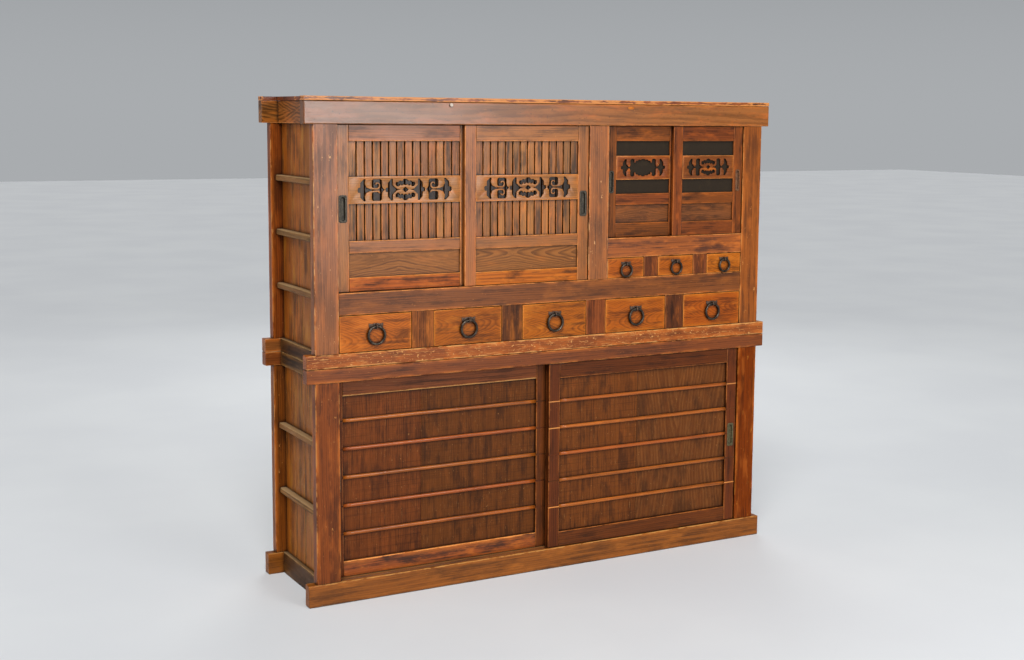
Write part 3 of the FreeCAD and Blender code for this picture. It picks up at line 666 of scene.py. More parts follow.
    def rub(self, board: BoardField, colour: Term) -> tuple[Term, Term]:
        """Rub the stain thin near the arrises and through it at them.

        Args:
            board: The board's own coordinates.
            colour: The colour before.

        Returns:
            The colour after, and the share that is rubbed through.
        """
        mix = board.graph.mix
        edge = board.arris(self.ends)
        patchy = board.noise(RUBBING).stretch(*self.rub_levels)
        near = 1.0 - edge.stretch(0.0, self.thin_reach * self.wear_reach)
        colour = mix(near * patchy * (self.thin_share * self.wear), colour, shade(self.warm))
        ragged = board.noise(RAGGED)
        reach = ragged.stretch(*self.ragged_levels, self.wear_least, 1.0) * self.wear_reach
        through = (1.0 - (edge / reach).stretch(0.4, 1.0)) * self.wear
        through = board.graph.math("MAXIMUM", through, self.marks(board))
        rare = self.pit_rarity - self.pit_gain * self.pits
        pits = board.noise(PITS).stretch(rare, rare + 0.03)
        colour = mix(pits * self.pits, colour, shade(self.deep))
        return mix(through, colour, shade(self.worn)), through

    def soil_and_shade(self, board: BoardField, colour: Term, stain: Term) -> Term:
        """Lay dust on what looks up, paint shadow on the shadow band, and paint shade with dirt into
        corners.

        Args:
            board: The board's own coordinates.
            colour: The colour before.
            stain: The uneven stain, which makes the dust uneven too.

        Returns:
            The colour after.
        """
        graph = board.graph
        if self.dust:
            facing = graph.split(graph.add("NewGeometry", "Normal"))[2]
            lying = facing.stretch(*self.dust_facing) * self.dust * stain.stretch(*self.dust_levels)
            colour = graph.mix(lying, colour, shade(DUST))
        if self.dark_end:
            begin, darkest = self.dark_end
            darker = 1.0 - board.along.stretch(darkest, begin)
            colour = graph.mix(darker * self.dark_end_share, colour, shade(self.deep))
        # Painted shadow: the stretch of each slat behind the frieze is darkened.
        if self.shadow_band:
            middle, half = self.shadow_band
            inside = 1.0 - abs(board.along - middle).stretch(half, self.band_fade * half)
            colour = graph.mix(inside * self.band_share, colour, shade(SHADOW))
        # Painted shade with dirt: corners, gaps between boards and the boards under the rods are
        # darkened.
        corner = graph.closed(self.grime_and_shade_reach, *self.grime_and_shade_levels)
        return graph.mix(corner * self.grime_and_shade, colour, shade(GRIME_AND_SHADE))

    def fill(self, graph: Graph, board: BoardField) -> None:
        """Fill the material's tree.

        Args:
            graph: The material's tree.
            board: The board's own coordinates.
        """
        late = self.late_wood(board)
        fibres = board.noise(FIBRES)
        pores = board.noise(PORES).stretch(*self.pore_levels)
        stain = board.noise(STAIN.finer(self.patch))
        colour = self.paint(board, late, fibres, pores, stain)
        colour, rubbed = self.rub(board, colour)
        rough = stain.stretch(0.35, 0.7, -0.06, 0.08) + self.roughness
        graph.surface(
            Base_Color=self.soil_and_shade(board, colour, stain),
            Roughness=rough + rubbed * 0.12 + pores * 0.08,
            Specular_IOR_Level=self.gloss,
            Coat_Weight=self.coat,
            Coat_Roughness=self.coat_roughness,
            Coat_IOR=1.5,
        )
        graph.bump((late + fibres) * 0.5 - pores * 0.5, 0.6, self.relief)


@dataclass(frozen=True)
class MetalFinish(Finish):
    """Aged metal with worn high places and dirt in its corners.

    Attributes:
        name: Name of the finish.
        base: Colour of the patina.
        worn: Colour where it is rubbed.
        dirt: Colour in the corners.
        roughness: Roughness of the patina.
        metallic: How metallic the patina is.
        grain: How many spots it has in a metre.
        marks: How many hammer marks it has in a metre.
        relief: Height of the marks.
        dirt_reach: How far the dirt reaches out of a corner.
    """

    name: str
    base: str
    worn: str
    dirt: str
    roughness: float = 0.45
    metallic: float = 0.8
    grain: float = 220.0
    marks: float = 100.0
    relief: float = 0.0003
    dirt_reach: float = 0.008

    def fill(self, graph: Graph, board: BoardField) -> None:
        """Fill the material's tree.

        Args:
            graph: The material's tree.
            board: The piece's own coordinates.
        """
        spots = board.noise(Pattern(self.grain, self.grain, 4.0, 0.6))
        marks = board.noise(Pattern(self.marks, self.marks, 1.0))
        colour = graph.mix(spots.stretch(0.4, 0.65), shade(self.base), shade(self.worn))
        corner = graph.closed(self.dirt_reach, 0.3, 0.95)
        graph.surface(
            Base_Color=graph.mix(corner, colour, shade(self.dirt)),
            Metallic=self.metallic,
            Roughness=spots.stretch(0.35, 0.7, self.roughness + 0.12, self.roughness - 0.08),
        )
        graph.bump(spots * 0.4 + marks, 0.7, self.relief)


@dataclass(frozen=True)
class GauzeFinish(Finish):
    """Dark woven mesh.

    Attributes:
        name: Name of the finish.
        thread: Colour of the threads.
        gap: Colour between them.
        pitch: Distance between threads.
        relief: Height of the threads.
    """

    name: str
    thread: str
    gap: str
    pitch: float
    relief: float = 0.0003

    def fill(self, graph: Graph, board: BoardField) -> None:
        """Fill the material's tree.

        Args:
            graph: The material's tree.
            board: The mesh's own coordinates.
        """
        turn = 2 * math.pi / self.pitch
        warp, weft = (abs(graph.math("SINE", way * turn)) for way in (board.across, board.along))
        weave = graph.math("MAXIMUM", warp, weft)
        dust = board.noise(LINT)
        colour = graph.mix(weave.stretch(0.3, 0.9), shade(self.gap), shade(self.thread))
        colour = graph.mix(dust.stretch(0.5, 0.75, 0.0, 0.35), colour, shade(LINT_COLOUR))
        colour = graph.mix(graph.closed(0.02, 0.2, 0.9), colour, shade(LINT_SHADOW))
        graph.surface(Base_Color=colour, Roughness=0.7, Specular_IOR_Level=0.15)
        graph.bump(weave, 0.6, self.relief)


@dataclass
class Solid:
    """One closed solid and the frame of the board that it is.

    Attributes:
        corners: Its corners.
        triangles: Its faces, as places in the list of corners.
        number: Its own number from 0 to 1, which sets its figure and tone.
        low: Its lowest X, Y and Z.
        high: Its highest X, Y and Z.
    """

    corners: list[Vector]
    triangles: list[tuple[int, int, int]]
    number: float
    low: Vector = field(init=False)
    high: Vector = field(init=False)

    def __post_init__(self) -> None:
        """Measure the solid and find its grain."""
        self.low = Vector(min(corner[axis] for corner in self.corners) for axis in range(3))
        self.high = Vector(max(corner[axis] for corner in self.corners) for axis in range(3))
        self.centre = (self.low + self.high) / 2
        self.half = (self.high - self.low) / 2
        thin, wide, long_ = sorted(range(3), key=lambda axis: self.half[axis])
        self.axes = (wide, thin, long_)

    @property
    def grain(self) -> int:
        """The axis that the grain runs along."""
        return self.axes[2]

    def place(self, point: Vector) -> tuple[float, float, float]:
        """A point's place across, through and along the board."""
        away = point - self.centre
        return away[self.axes[0]], away[self.axes[1]], away[self.axes[2]]

    def halves(self) -> tuple[float, float, float]:
        """Half of the board's width, thickness and length."""
        return self.half[self.axes[0]], self.half[self.axes[1]], self.half[self.axes[2]]


def read_solids(node: str) -> list[Solid]:
    """Read the closed solids of a CAD node.

    A solid is complete when every edge of its triangles, walked in order, has met its partner.

    Args:
        node: Name of the node.

    Returns:
        Its solids in order.
    """
    mesh = frame["nodes"][node].data
    keys = [tuple(round(part / MICRON) for part in v.co) for v in mesh.vertices]
    chance = random.Random(node)
    solids = []
    known: dict[tuple[int, ...], int] = {}
    corners: list[Vector] = []
    triangles: list[tuple[int, ...]] = []
    waiting: set[tuple[int, int]] = set()
    for face in mesh.polygons:
        ring = []
        for index in face.vertices:
            if keys[index] not in known:
                known[keys[index]] = len(corners)
                corners.append(mesh.vertices[index].co.copy())
            ring.append(known[keys[index]])
        triangles.append(tuple(ring))
        for start, end in zip(ring, ring[1:] + ring[:1]):
            if (end, start) in waiting:
                waiting.remove((end, start))
            else:
                waiting.add((start, end))
        if not waiting:
            solids.append(Solid(corners, triangles, chance.random()))
            known, corners, triangles = {}, [], []
    return solids


def box_solid(low: Vector, high: Vector, number: float) -> Solid:
    """A rectangular solid between two corners.

    Args:
        low: Its lowest corner.
        high: Its highest corner.
        number: Its own number from 0 to 1.

    Returns:
        The solid.
    """
    ends = (low, high)
    corners = [
        Vector((ends[x].x, ends[y].y, ends[z].z)) for x in (0, 1) for y in (0, 1) for z in (0, 1)
    ]
    quads = ((0, 1, 3, 2), (4, 6, 7, 5), (0, 4, 5, 1), (2, 3, 7, 6), (0, 2, 6, 4), (1, 5, 7, 3))
    triangles = [triangle for a, b, c, d in quads for triangle in ((a, b, c), (a, c, d))]
    return Solid(corners, triangles, number)


def set_attributes(
    mesh: bpy.types.Mesh, places: list[float], halves: list[float], numbers: list[float]
) -> None:
    """Set the attributes that the finishes read.

    Args:
        mesh: The mesh.
        places: Each point's place in its board, three numbers a point.
        halves: Half of the size of each point's board, three numbers a point.
        numbers: The number of each point's board.
    """
    for title, kind, key, values in (
        ("place", "FLOAT_VECTOR", "vector", places),
        ("half", "FLOAT_VECTOR", "vector", halves),
        ("board", "FLOAT", "value", numbers),
    ):
        mesh.attributes.new(title, kind, "POINT").data.foreach_set(key, values)


def loft(rings: Sequence[Sequence[Vector]]) -> bmesh.types.BMesh:
    """A closed skin through rings of as many points each, with a flat cap at both ends.

    Args:
        rings: The rings in order.

    Returns:
        The skin, facing outwards.
    """
    shape = bmesh.new()
    skins = [[shape.verts.new(point) for point in ring] for ring in rings]
    for inner, outer in zip(skins, skins[1:]):
        for index in range(len(inner)):
            shape.faces.new((inner[index - 1], inner[index], outer[index], outer[index - 1]))
    shape.faces.new(skins[0][::-1])
    shape.faces.new(skins[-1])
    bmesh.ops.recalc_face_normals(shape, faces=shape.faces)
    return shape


def to_mesh(shape: bmesh.types.BMesh, name: str) -> bpy.types.Mesh:
    """Turn a finished shape into a mesh, and free the shape.

    Args:
        shape: The shape.
        name: Name of the mesh.

    Returns:
        The mesh.
    """
    mesh = bpy.data.meshes.new(name)
    shape.to_mesh(mesh)
    shape.free()
    return mesh


def place_object(name: str, data: bpy.types.ID) -> bpy.types.Object:
    """Make an object of a mesh, a lamp or a camera, and put it in the scene.

    Args:
        name: Its name.
        data: What it shows.

    Returns:
        The object.
    """
    holder = bpy.data.objects.new(name, data)
    bpy.context.scene.collection.objects.link(holder)
    return holder


@dataclass
class Timber:
    """Gathers boards into one mesh, with softened arrises and a hand-planed surface.

    Attributes:
        soften: How far each arris is rounded back.
        ripple: The deepest hollow that the plane left.
        step: Distance between cross sections along the grain.
        bite: How deep the arrises are worn in places.
        points: The gathered points.
        faces: The gathered faces, as places in the list of points.
        looks: Which of the piece's finishes each face has.
        places: Each point's place in its board.
        halves: Half of the size of each point's board.
        numbers: The number of each point's board.
    """

    soften: float = 0.0008
    ripple: float = 0.00025
    step: float = 0.045
    bite: float = 0.0006
    points: list[Vector] = field(default_factory=list)
    faces: list[tuple[int, ...]] = field(default_factory=list)
    looks: list[int] = field(default_factory=list)
    places: list[float] = field(default_factory=list)
    halves: list[float] = field(default_factory=list)
    numbers: list[float] = field(default_factory=list)

    sharp_turn = math.radians(24)
    flat_turn = math.radians(0.5)
    shortest_arris = 0.006

    # Waves and dents in a metre of a board's length, and how far worn arrises reach inwards.
    waves = 9
    dents = 31
    worn_reach = 4

    def add(self, solid: Solid, look: int = 0) -> None:
        """Add one board.

        Args:
            solid: The board.
            look: Which of the piece's finishes it has.
        """
        shape = bmesh.new()
        corners = [shape.verts.new(corner) for corner in solid.corners]
        for triangle in solid.triangles:
            shape.faces.new([corners[index] for index in triangle])
        shape.normal_update()
        bmesh.ops.dissolve_limit(
            shape, angle_limit=self.flat_turn, verts=shape.verts, edges=shape.edges
        )
        arrises = [edge for edge in shape.edges if self.is_arris(edge)]
        bmesh.ops.bevel(
            shape, geom=arrises, offset=self.soften, offset_type="OFFSET", segments=2,
            profile=0.5, affect="EDGES", clamp_overlap=True,
        )
        self.slice(shape, solid)
        self.wear_down(shape, solid)
        self.keep(shape, solid, look)
        shape.free()

    def is_arris(self, edge: bmesh.types.BMEdge) -> bool:
        """True for an outward edge that is long enough to round."""
        return (
            edge.is_manifold
            and edge.calc_length() > self.shortest_arris
            and edge.calc_face_angle_signed(0.0) > self.sharp_turn
        )

    def slice(self, shape: bmesh.types.BMesh, solid: Solid) -> None:
        """Cut cross sections along the grain.

        Args:
            shape: The board's mesh.
            solid: The board.
        """
        length = 2 * solid.half[solid.grain]
        count = int(length / self.step)
        normal = Vector((0, 0, 0))
        normal[solid.grain] = 1.0
        for number in range(1, count):
            place = solid.centre.copy()
            place[solid.grain] = solid.low[solid.grain] + length * number / count
            bmesh.ops.bisect_plane(
                shape, geom=[*shape.verts, *shape.edges, *shape.faces], plane_co=place, plane_no=normal
            )

    def wear_down(self, shape: bmesh.types.BMesh, solid: Solid) -> None:
        """Plane the faces a little hollow and wear the arrises unevenly, always inwards.

        Args:
            shape: The board's mesh.
            solid: The board.
        """
        key = 40 * solid.number
        for vertex in shape.verts:
            away = solid.place(vertex.co)
            to_faces = [half - abs(part) for half, part in zip(solid.halves(), away)]
            to_arris = sorted(to_faces)[1]
            worn = max(0.0, 1 - to_arris / (self.worn_reach * self.soften)) * self.bite
            for axis, part in zip(solid.axes[:2], away[:2]):
                side = math.copysign(1.0, part)
                wave = noise.noise(Vector((away[2] * self.waves, key + side, axis)))
                dent = noise.noise(Vector((away[2] * self.dents, key - side, axis)))
                depth = self.ripple * (0.5 + 0.5 * wave) + worn * max(0.0, dent + 0.15)
                room = min(depth, abs(part))
                vertex.co[axis] -= side * room

    def keep(self, shape: bmesh.types.BMesh, solid: Solid, look: int) -> None:
        """Copy a finished board into the gathered mesh.

        Args:
            shape: The board's mesh.
            solid: The board.
            look: Which of the piece's finishes it has.
        """
        shape.verts.index_update()
        start = len(self.points)
        for vertex in shape.verts:
            self.points.append(vertex.co.copy())
            self.places.extend(solid.place(vertex.co))
            self.halves.extend(solid.halves())
            self.numbers.append(solid.number)
        for face in shape.faces:
            self.faces.append(tuple(start + vertex.index for vertex in face.verts))
            self.looks.append(look)

    def finish(self, name: str) -> bpy.types.Object:
        """Make the object.

        Args:
            name: Its name.

        Returns:
            The object, with its surface attributes set.
        """
        mesh = bpy.data.meshes.new(name)
        mesh.from_pydata([tuple(point) for point in self.points], [], self.faces)
        mesh.polygons.foreach_set("use_smooth", [True] * len(self.faces))
        mesh.polygons.foreach_set("material_index", self.looks)
        set_attributes(mesh, self.places, self.halves, self.numbers)
        mesh.update()
        piece = place_object(name, mesh)
        piece.modifiers.new("even_shading", "WEIGHTED_NORMAL")
        return piece


def settle(piece: bpy.types.Object, node: str) -> bpy.types.Object:
    """Put a piece in the place of a CAD node: it rides on its body, and the node is hidden.

    Args:
        piece: The new piece.
        node: The node that it stands for.

    Returns:
        The piece.
    """
    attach(piece, BODY_OF[node])
    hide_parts(node)
    return piece


class Woods:
    """The cabinet's wood finishes."""

    sill = WoodFinish(
        "sill_oiled", "#834714", "#5e3009", "#3a1d05", glow=0.4, blotch=0.6, wear=1.0, wear_reach=0.006,
        worn="#b07a3e", warm="#a9601f", gloss=0.16, coat=0.1, pits=0.5,
    )
    ledge = WoodFinish(
        "ledge_scuffed", "#864415", "#66310c", "#401f07", glow=0.4, blotch=0.5, wear=1.0, scuffs=1.4,
        wear_reach=0.008, wear_least=0.15, worn="#c0854a", patch=1.4, gloss=0.16, coat=0.08,
    )
    side_rail = WoodFinish(
        "side_rail_dusty", "#51300e", "#341d06", "#1e0f04", warm="#8f6028", worn="#a07c4c",
        dust=0.5, roughness=0.55, coat=0.0, ends=True,
    )
    rail = WoodFinish(
        "rail_stained", "#773d17", "#562a0c", "#301506", glow=0.2, blotch=0.6, wear_least=0.15,
        gloss=0.17, coat=0.09,
    )
    mottled_rail = WoodFinish(
        "rail_mottled", "#8e4d17", "#61300c", "#361806", warm="#b8661e", glow=0.7, blotch=0.8, patch=1.3,
    )
    post = WoodFinish(
        "post_stained", "#955526", "#6f3b17", "#43240d", glow=0.25, blotch=0.6, wear=1.0,
        wear_reach=0.0045, wear_least=0.0, worn="#c28c58", knots=0.4, scuffs=0.4,
    )
    foot_post = replace(
        post, name="foot_post_stained", light="#7f3f10", dark="#5a2b09", deep="#361805", worn="#b0743a",
        gloss=0.14, coat=0.05,
    )
    far_post = replace(
        foot_post, name="far_post_stained", light="#703004", dark="#502003", deep="#2c1103", knots=0.9,
        worn="#8f5218", gloss=0.06, coat=0.0,
    )
    right_post = replace(
        post, name="right_post_stained", light="#8c4a16", dark="#66320d", deep="#3c1d08", worn="#b8783a",
        gloss=0.14, coat=0.05,
    )
    beam = WoodFinish(
        "beam_lacquered", "#9a5c23", "#774411", "#43260a", figure=Figure.CATHEDRAL, taper=0.02,
        ring=0.016, pith=0.05, contrast=0.6, streak=0.6, roughness=0.36, coat=0.3,
        coat_roughness=0.24, wear=0.7, pits=1.8, blotch=0.4, dark_end=(0.2, -0.75),
    )
    end_beam = WoodFinish(
        "end_beam_stained", "#985a26", "#5b3411", "#331c0b", figure=Figure.CATHEDRAL, taper=0.2,
        ring=0.011, pith=0.01, contrast=1.1,
    )
    top = WoodFinish(
        "top_lacquered", "#72341a", "#4c200e", "#2b1107", warm="#a5551f", figure=Figure.CATHEDRAL,
        ring=0.012, wear=0.9, wear_reach=0.012, wear_least=0.1, worn="#c9803f",
        coat_roughness=0.3, ends=True, glow=0.2,
    )
    side = WoodFinish(
        "side_faded", "#a35910", "#6f3909", "#40210a", warm="#b87a22", blotch=0.7, wear=0.2,
        worn="#c7a068", roughness=0.5, coat=0.05, contrast=0.6, streak=1.2, scuffs=0.5,
    )
    batten = WoodFinish(
        "batten_dusty", "#875b2d", "#5e3b1b", "#382613", warm="#9c7240", wear=0.6, worn="#b0905f",
        dust=0.8, roughness=0.6, coat=0.0, ends=True,
    )
    raw = WoodFinish(
        "board_raw", "#9c7446", "#79552d", "#553b24", warm="#ad8450", figure=Figure.CATHEDRAL, ring=0.012,
        wear=0.2, roughness=0.7, coat=0.0, grime_and_shade=0.5, blotch=0.4,
    )
    divider = WoodFinish(
        "divider_stained", "#673619", "#44220e", "#241107", ring=0.006, contrast=0.6, variety=0.25,
        wear=0.3, gloss=0.1, coat=0.03,
    )
    warm_divider = replace(
        divider, name="divider_warm", light="#8a481c", dark="#612e10", deep="#3c1c0a", variety=0.1,
    )
    drawer = WoodFinish(
        "drawer_figured", "#a2500b", "#6d3204", "#461e03", figure=Figure.CATHEDRAL, ring=0.0055,
        pith=0.03, taper=0.24, contrast=0.6, streak=0.6, blotch=0.7, warm="#be6a18", wear=0.9,
        wear_reach=0.0045, wear_least=0.4, worn="#c9782c", variety=0.08, ends=True, patch=1.3,
        gloss=0.12, coat=0.05,
    )
    pale_drawer = replace(
        drawer, name="drawer_pale", light="#ab580e", dark="#733805", deep="#4a2304", warm="#c46d1f",
    )
    door = WoodFinish(
        "door_stained", "#975722", "#6d3d15", "#40220d", warm="#b46020", blotch=0.7, glow=0.4,
        wear_least=0.3,
    )
    door_foot = WoodFinish(
        "door_foot_rubbed", "#b55b13", "#7e3e0a", "#462105", warm="#c26c1c", blotch=0.9, glow=0.7,
        wear_least=0.4, ring=0.012, contrast=0.7, patch=1.5, gloss=0.12, coat=0.05,
    )
    door_panel = WoodFinish(
        "door_panel_figured", "#915624", "#623614", "#42240d", figure=Figure.CATHEDRAL,
        pith=0.012, taper=0.14, contrast=0.8, streak=0.5, blotch=0.35, glow=0.2, wear=0.0,
        gloss=0.14, coat=0.06,
    )
    narrow_panel = replace(
        door_panel, name="narrow_panel_figured", light="#7c4620", dark="#56300f", deep="#341b0a",
        contrast=0.4, blotch=0.7, patch=1.6,
    )
    narrow_door = replace(
        door, name="narrow_door_stained", light="#783d17", dark="#52290d", deep="#301607", glow=0.6,
        warm="#a5541a", blotch=0.8, patch=1.7, worn="#a85e28", wear=0.7, gloss=0.1, coat=0.05,
    )
    slat = WoodFinish(
        "slat_mixed", "#9a5e28", "#674020", "#322417", ring=0.007, blotch=0.9, grime_and_shade=1.0, variety=0.2,
        streak=1.2, wear_reach=0.002, coat=0.0,
    )
    frieze = WoodFinish(
        "frieze_carved", "#a0642e", "#7a491e", "#4e2d16", contrast=0.4, blotch=0.4, wear=0.7,
        wear_reach=0.003, variety=0.06, ends=True,
    )
    narrow_frieze = replace(
        frieze, name="narrow_frieze_carved", light="#79401a", dark="#5e3011", deep="#3d1d09",
        gloss=0.1, coat=0.04,
    )
    base_door = WoodFinish(
        "base_door_stained", "#5e2c0e", "#3e1d09", "#200d03", glow=0.2, warm="#7d3f14", blotch=0.6,
        wear_least=0.3, worn="#a5602a", gloss=0.1, coat=0.04,
    )
    base_door_rail = replace(
        base_door, name="base_door_rail_stained", light="#7c4122", dark="#562c17", deep="#2c160a",
        wear_reach=0.006, wear_least=0.5, worn="#bd8a4e", wear=0.9,
    )
    base_door_foot = WoodFinish(
        "base_door_foot_rubbed", "#9a4e16", "#602c0b", "#2c1405", warm="#b8641a", glow=0.8, blotch=0.9,
        wear_reach=0.006, wear=1.0, patch=1.4,
    )
    # A long reach of grime_and_shade paints the shadow under the rods onto these boards.
    base_board = WoodFinish(
        "base_board_sawn", "#673610", "#452007", "#241004", figure=Figure.SAWN, ring=0.0065,
        contrast=0.5, streak=0.8, blotch=0.55, wear=0.0, warm="#7e4015", glow=0.35, scuffs=0.5, patch=1.7,
        gloss=0.1, coat=0.02, grime_and_shade=1.0, grime_and_shade_reach=0.022, worn="#8f6236",
    )
    base_board_arched = replace(
        base_board, name="base_board_arched", light="#50260b", dark="#6b3d1a", figure=Figure.CATHEDRAL,
        ring=0.014, pith=0.012, taper=0.14, contrast=0.4, glow=0.15,
    )
    rod = WoodFinish(
        "rod_polished", "#a9571a", "#7d3d10", "#4a1f07", blotch=0.4, glow=0.3, wear=0.0, scuffs=0.0,
        coat=0.3, coat_roughness=0.2, gloss=0.15, grime_and_shade=0.35, grime_and_shade_reach=0.01,
    )
    dull_tenon = replace(base_door, name="tenon_dull", wear=0.0, scuffs=0.0)
    tenon = WoodFinish("tenon_worn", "#b47a3e", "#8e5623", "#5a3010", wear=0.5, ends=True)
    peg = WoodFinish("peg_pale", "#c9bcae", "#ad9c8a", "#8d7a66", warm="#c9b090", wear=0.0, pits=0.0)


class Metals:
    """The cabinet's metal finishes."""

    iron = MetalFinish(
        "iron_forged", "#2a231d", "#4a4137", "#140e0a", roughness=0.4, grain=60.0, marks=30.0,
        relief=0.00003,
    )
    plate = MetalFinish("plate_rusty", "#3a2a20", "#5f4632", "#1c120c", roughness=0.55, metallic=0.45)
    bronze = MetalFinish(
        "bronze_aged", "#25211b", "#453e30", "#100d09", roughness=0.5, metallic=0.6, relief=0.0001
    )
    worn_bronze = MetalFinish(
        "bronze_worn", "#464029", "#665c3e", "#100d09", roughness=0.45, metallic=0.6, relief=0.0001
    )
    brass = MetalFinish(
        "brass_browned", "#54331c", "#7c5028", "#1f120a", roughness=0.5, metallic=0.4, relief=0.0001
    )
    gauze = GauzeFinish("gauze_dark", "#2a1f12", "#0c0805", 0.0022)


@dataclass
class WoodPiece:
    """A CAD node of boards, dressed as real timber.

    Attributes:
        node: The node.
        pick: Which finish each of its boards takes.
        soften: How far the arrises are rounded.
        bite: How deep they are worn.
        ripple: How uneven the faces are.
    """

    node: str
    pick: Callable[[Solid], WoodFinish]
    soften: float = 0.0008
    bite: float = 0.0006
    ripple: float = 0.00025

    def build(self) -> bpy.types.Object:
        """Build the boards and dress them.

        Returns:
            The piece, riding on its body.
        """
        timber = Timber(soften=self.soften, bite=self.bite, ripple=self.ripple)
        finishes: list[WoodFinish] = []
        for solid in read_solids(self.node):
            finish = self.pick(solid)
            if finish not in finishes:
                finishes.append(finish)
            timber.add(solid, finishes.index(finish))
        piece = timber.finish(self.node + "_wood")
        for finish in finishes:
            piece.data.materials.append(finish.material())
        return settle(piece, self.node)


@dataclass
class Carcass:
    """Frames, panels and boards of both chests.

    Attributes:
        seam: Level between the sill frames' woods and the woods of the rails above them.
        upper_seam: The same in the upper chest.
        front_reach: A member further than this from the middle stands at the front or the right.
        far_right: A post beyond this stands at the right end.
        divider_step: Distance between the dividers of the long row.
        worn_soften: Rounding of the arrises that hands and feet rub.
        worn_bite: How deep those arrises are worn.
        batten_soften: Rounding of the battens.
        batten_bite: How deep the battens' arrises are worn.
    """

    seam: float = 0.4
    upper_seam: float = 1.2
    front_reach: float = 0.15
    far_right: float = 0.6
    divider_step: float = 0.334
    worn_soften: float = 0.0011
    worn_bite: float = 0.0012
    batten_soften: float = 0.0016
    batten_bite: float = 0.0015

    def build(self) -> list[bpy.types.Object]:
        """Build every piece of the carcass.

        Returns:
            The pieces.
        """
        worn = (self.worn_soften, self.worn_bite)
        pieces = [
            WoodPiece("base_rails", self.base_rail_finish, *worn),
            WoodPiece("upper_rails", self.upper_rail_finish, *worn),
            WoodPiece("base_posts", self.base_post_finish, *worn),
            WoodPiece("upper_posts", self.upper_post_finish, *worn),
            WoodPiece("front_rails", self.front_rail_finish),
            WoodPiece("drawer_dividers", self.divider_finish),
            WoodPiece("side_panels", lambda s: Woods.side),
            WoodPiece("side_battens", lambda s: Woods.batten, self.batten_soften, self.batten_bite),
            WoodPiece("top_boards", lambda s: Woods.top, *worn),
            WoodPiece("back_boards", lambda s: Woods.raw),
            WoodPiece("floor_boards", lambda s: Woods.raw),
            WoodPiece("shelves_and_runners", lambda s: Woods.raw),
        ]
        return [piece.build() for piece in pieces]

    def base_rail_finish(self, solid: Solid) -> WoodFinish:
        """The sill frame is oiled, the frame over it stained, and the side rails are dusty."""
        if solid.grain == 1:
            return Woods.side_rail
        return Woods.sill if solid.centre.z < self.seam else Woods.rail

    def upper_rail_finish(self, solid: Solid) -> WoodFinish:
        """The front sill is scuffed and the front beam lacquered; the others are plainer."""
        at_front = solid.centre.y < -self.front_reach
        if solid.centre.z > self.upper_seam:
            return Woods.beam if at_front else Woods.end_beam
        if solid.grain == 1:
            return Woods.side_rail
        return Woods.ledge if at_front else Woods.post

    def upper_post_finish(self, solid: Solid) -> WoodFinish:
        """The rear posts take the darker foot finish, partly stain and partly painted shade of the corner
        where they stand; the right one is warmer.
        """
        if solid.centre.y > 0:
            return Woods.foot_post
        return Woods.right_post if solid.centre.x > self.far_right else Woods.post

    def base_post_finish(self, solid: Solid) -> WoodFinish:
        """The right posts are darker and knotty."""
        return Woods.far_post if solid.centre.x > 0 else Woods.foot_post

    def divider_finish(self, solid: Solid) -> WoodFinish:
        """Every other divider of the long row is warmer than the rest."""
        in_long_row = solid.centre.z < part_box("drawer_1")[1].z
        place = round(solid.centre.x / self.divider_step - 0.5)
        return Woods.warm_divider if in_long_row and place % 2 == 0 else Woods.divider

    def front_rail_finish(self, solid: Solid) -> WoodFinish:
        """The short rail, right of the middle, is mottled."""
        return Woods.mottled_rail if solid.centre.x > self.front_reach else Woods.rail


FLATNESS = 20 * MICRON
WELD = 5 * MICRON
CURVE_CORNER = math.radians(52)
CHORD_POINTS = 5


def outline_loops(node: str, back: bool) -> list[list[Point2]]:
    """Closed outlines of a node's foremost or rearmost flat face, as X and Z.

    Args:
        node: The node.
        back: True for its rearmost face.

    Returns:
        Its outlines, the longest first.
    """
    low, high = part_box(node)
    level = high.y if back else low.y
    mesh = frame["nodes"][node].data
    follow: dict[tuple[int, int], tuple[int, int]] = {}
    edges: set[tuple[tuple[int, int], tuple[int, int]]] = set()
    for face in mesh.polygons:
        corners = [mesh.vertices[index].co for index in face.vertices]
        if any(abs(corner.y - level) > FLATNESS for corner in corners):
            continue
        ring = [(round(corner.x / MICRON), round(corner.z / MICRON)) for corner in corners]
        for pair in zip(ring, ring[1:] + ring[:1]):
            if pair[::-1] in edges:
                edges.remove(pair[::-1])
            else:
                edges.add(pair)
    for start, end in sorted(edges):
        follow[start] = end
    loops = []
    while follow:
        start = min(follow)
        loop = [start]
        following = follow.pop(start)
        while following != start:
            loop.append(following)
            following = follow.pop(following)
        loops.append([(x * MICRON, z * MICRON) for x, z in loop])
    return sorted(loops, key=len, reverse=True)


def rounded_loop(loop: list[Point2], sharp: float, steps: int, longest: float) -> list[Point2]:
    """Round the chords of an outline into curves, and keep its corners and straight runs.

    Args:
        loop: The outline's points.
        sharp: The turn above which a point is a corner.
        steps: New points on each chord.
        longest: A chord above this length is a straight run.

    Returns:
        The rounded outline.
    """
    points = [Vector(point) for point in loop]
    count = len(points)

    def turn(index: int) -> float:
        """Turn of the outline at a point."""
        before = points[index] - points[index - 1]
        after = points[(index + 1) % count] - points[index]
        return abs(before.angle_signed(after, 0.0))

    corner = [turn(index) > sharp for index in range(count)]
    rounded = []
    for index in range(count):
        here, there = points[index], points[(index + 1) % count]
        rounded.append(tuple(here))
        span = (there - here).length
        if span > longest:
            continue
        before = here if corner[index] else points[index - 1]
        beyond = there if corner[(index + 1) % count] else points[(index + 2) % count]
        start_slope, end_slope = slopes(before, here, there, beyond)
        for number in range(1, steps):
            share = number / steps
            rounded.append(tuple(hermite(here, there, start_slope, end_slope, share)))
    return rounded


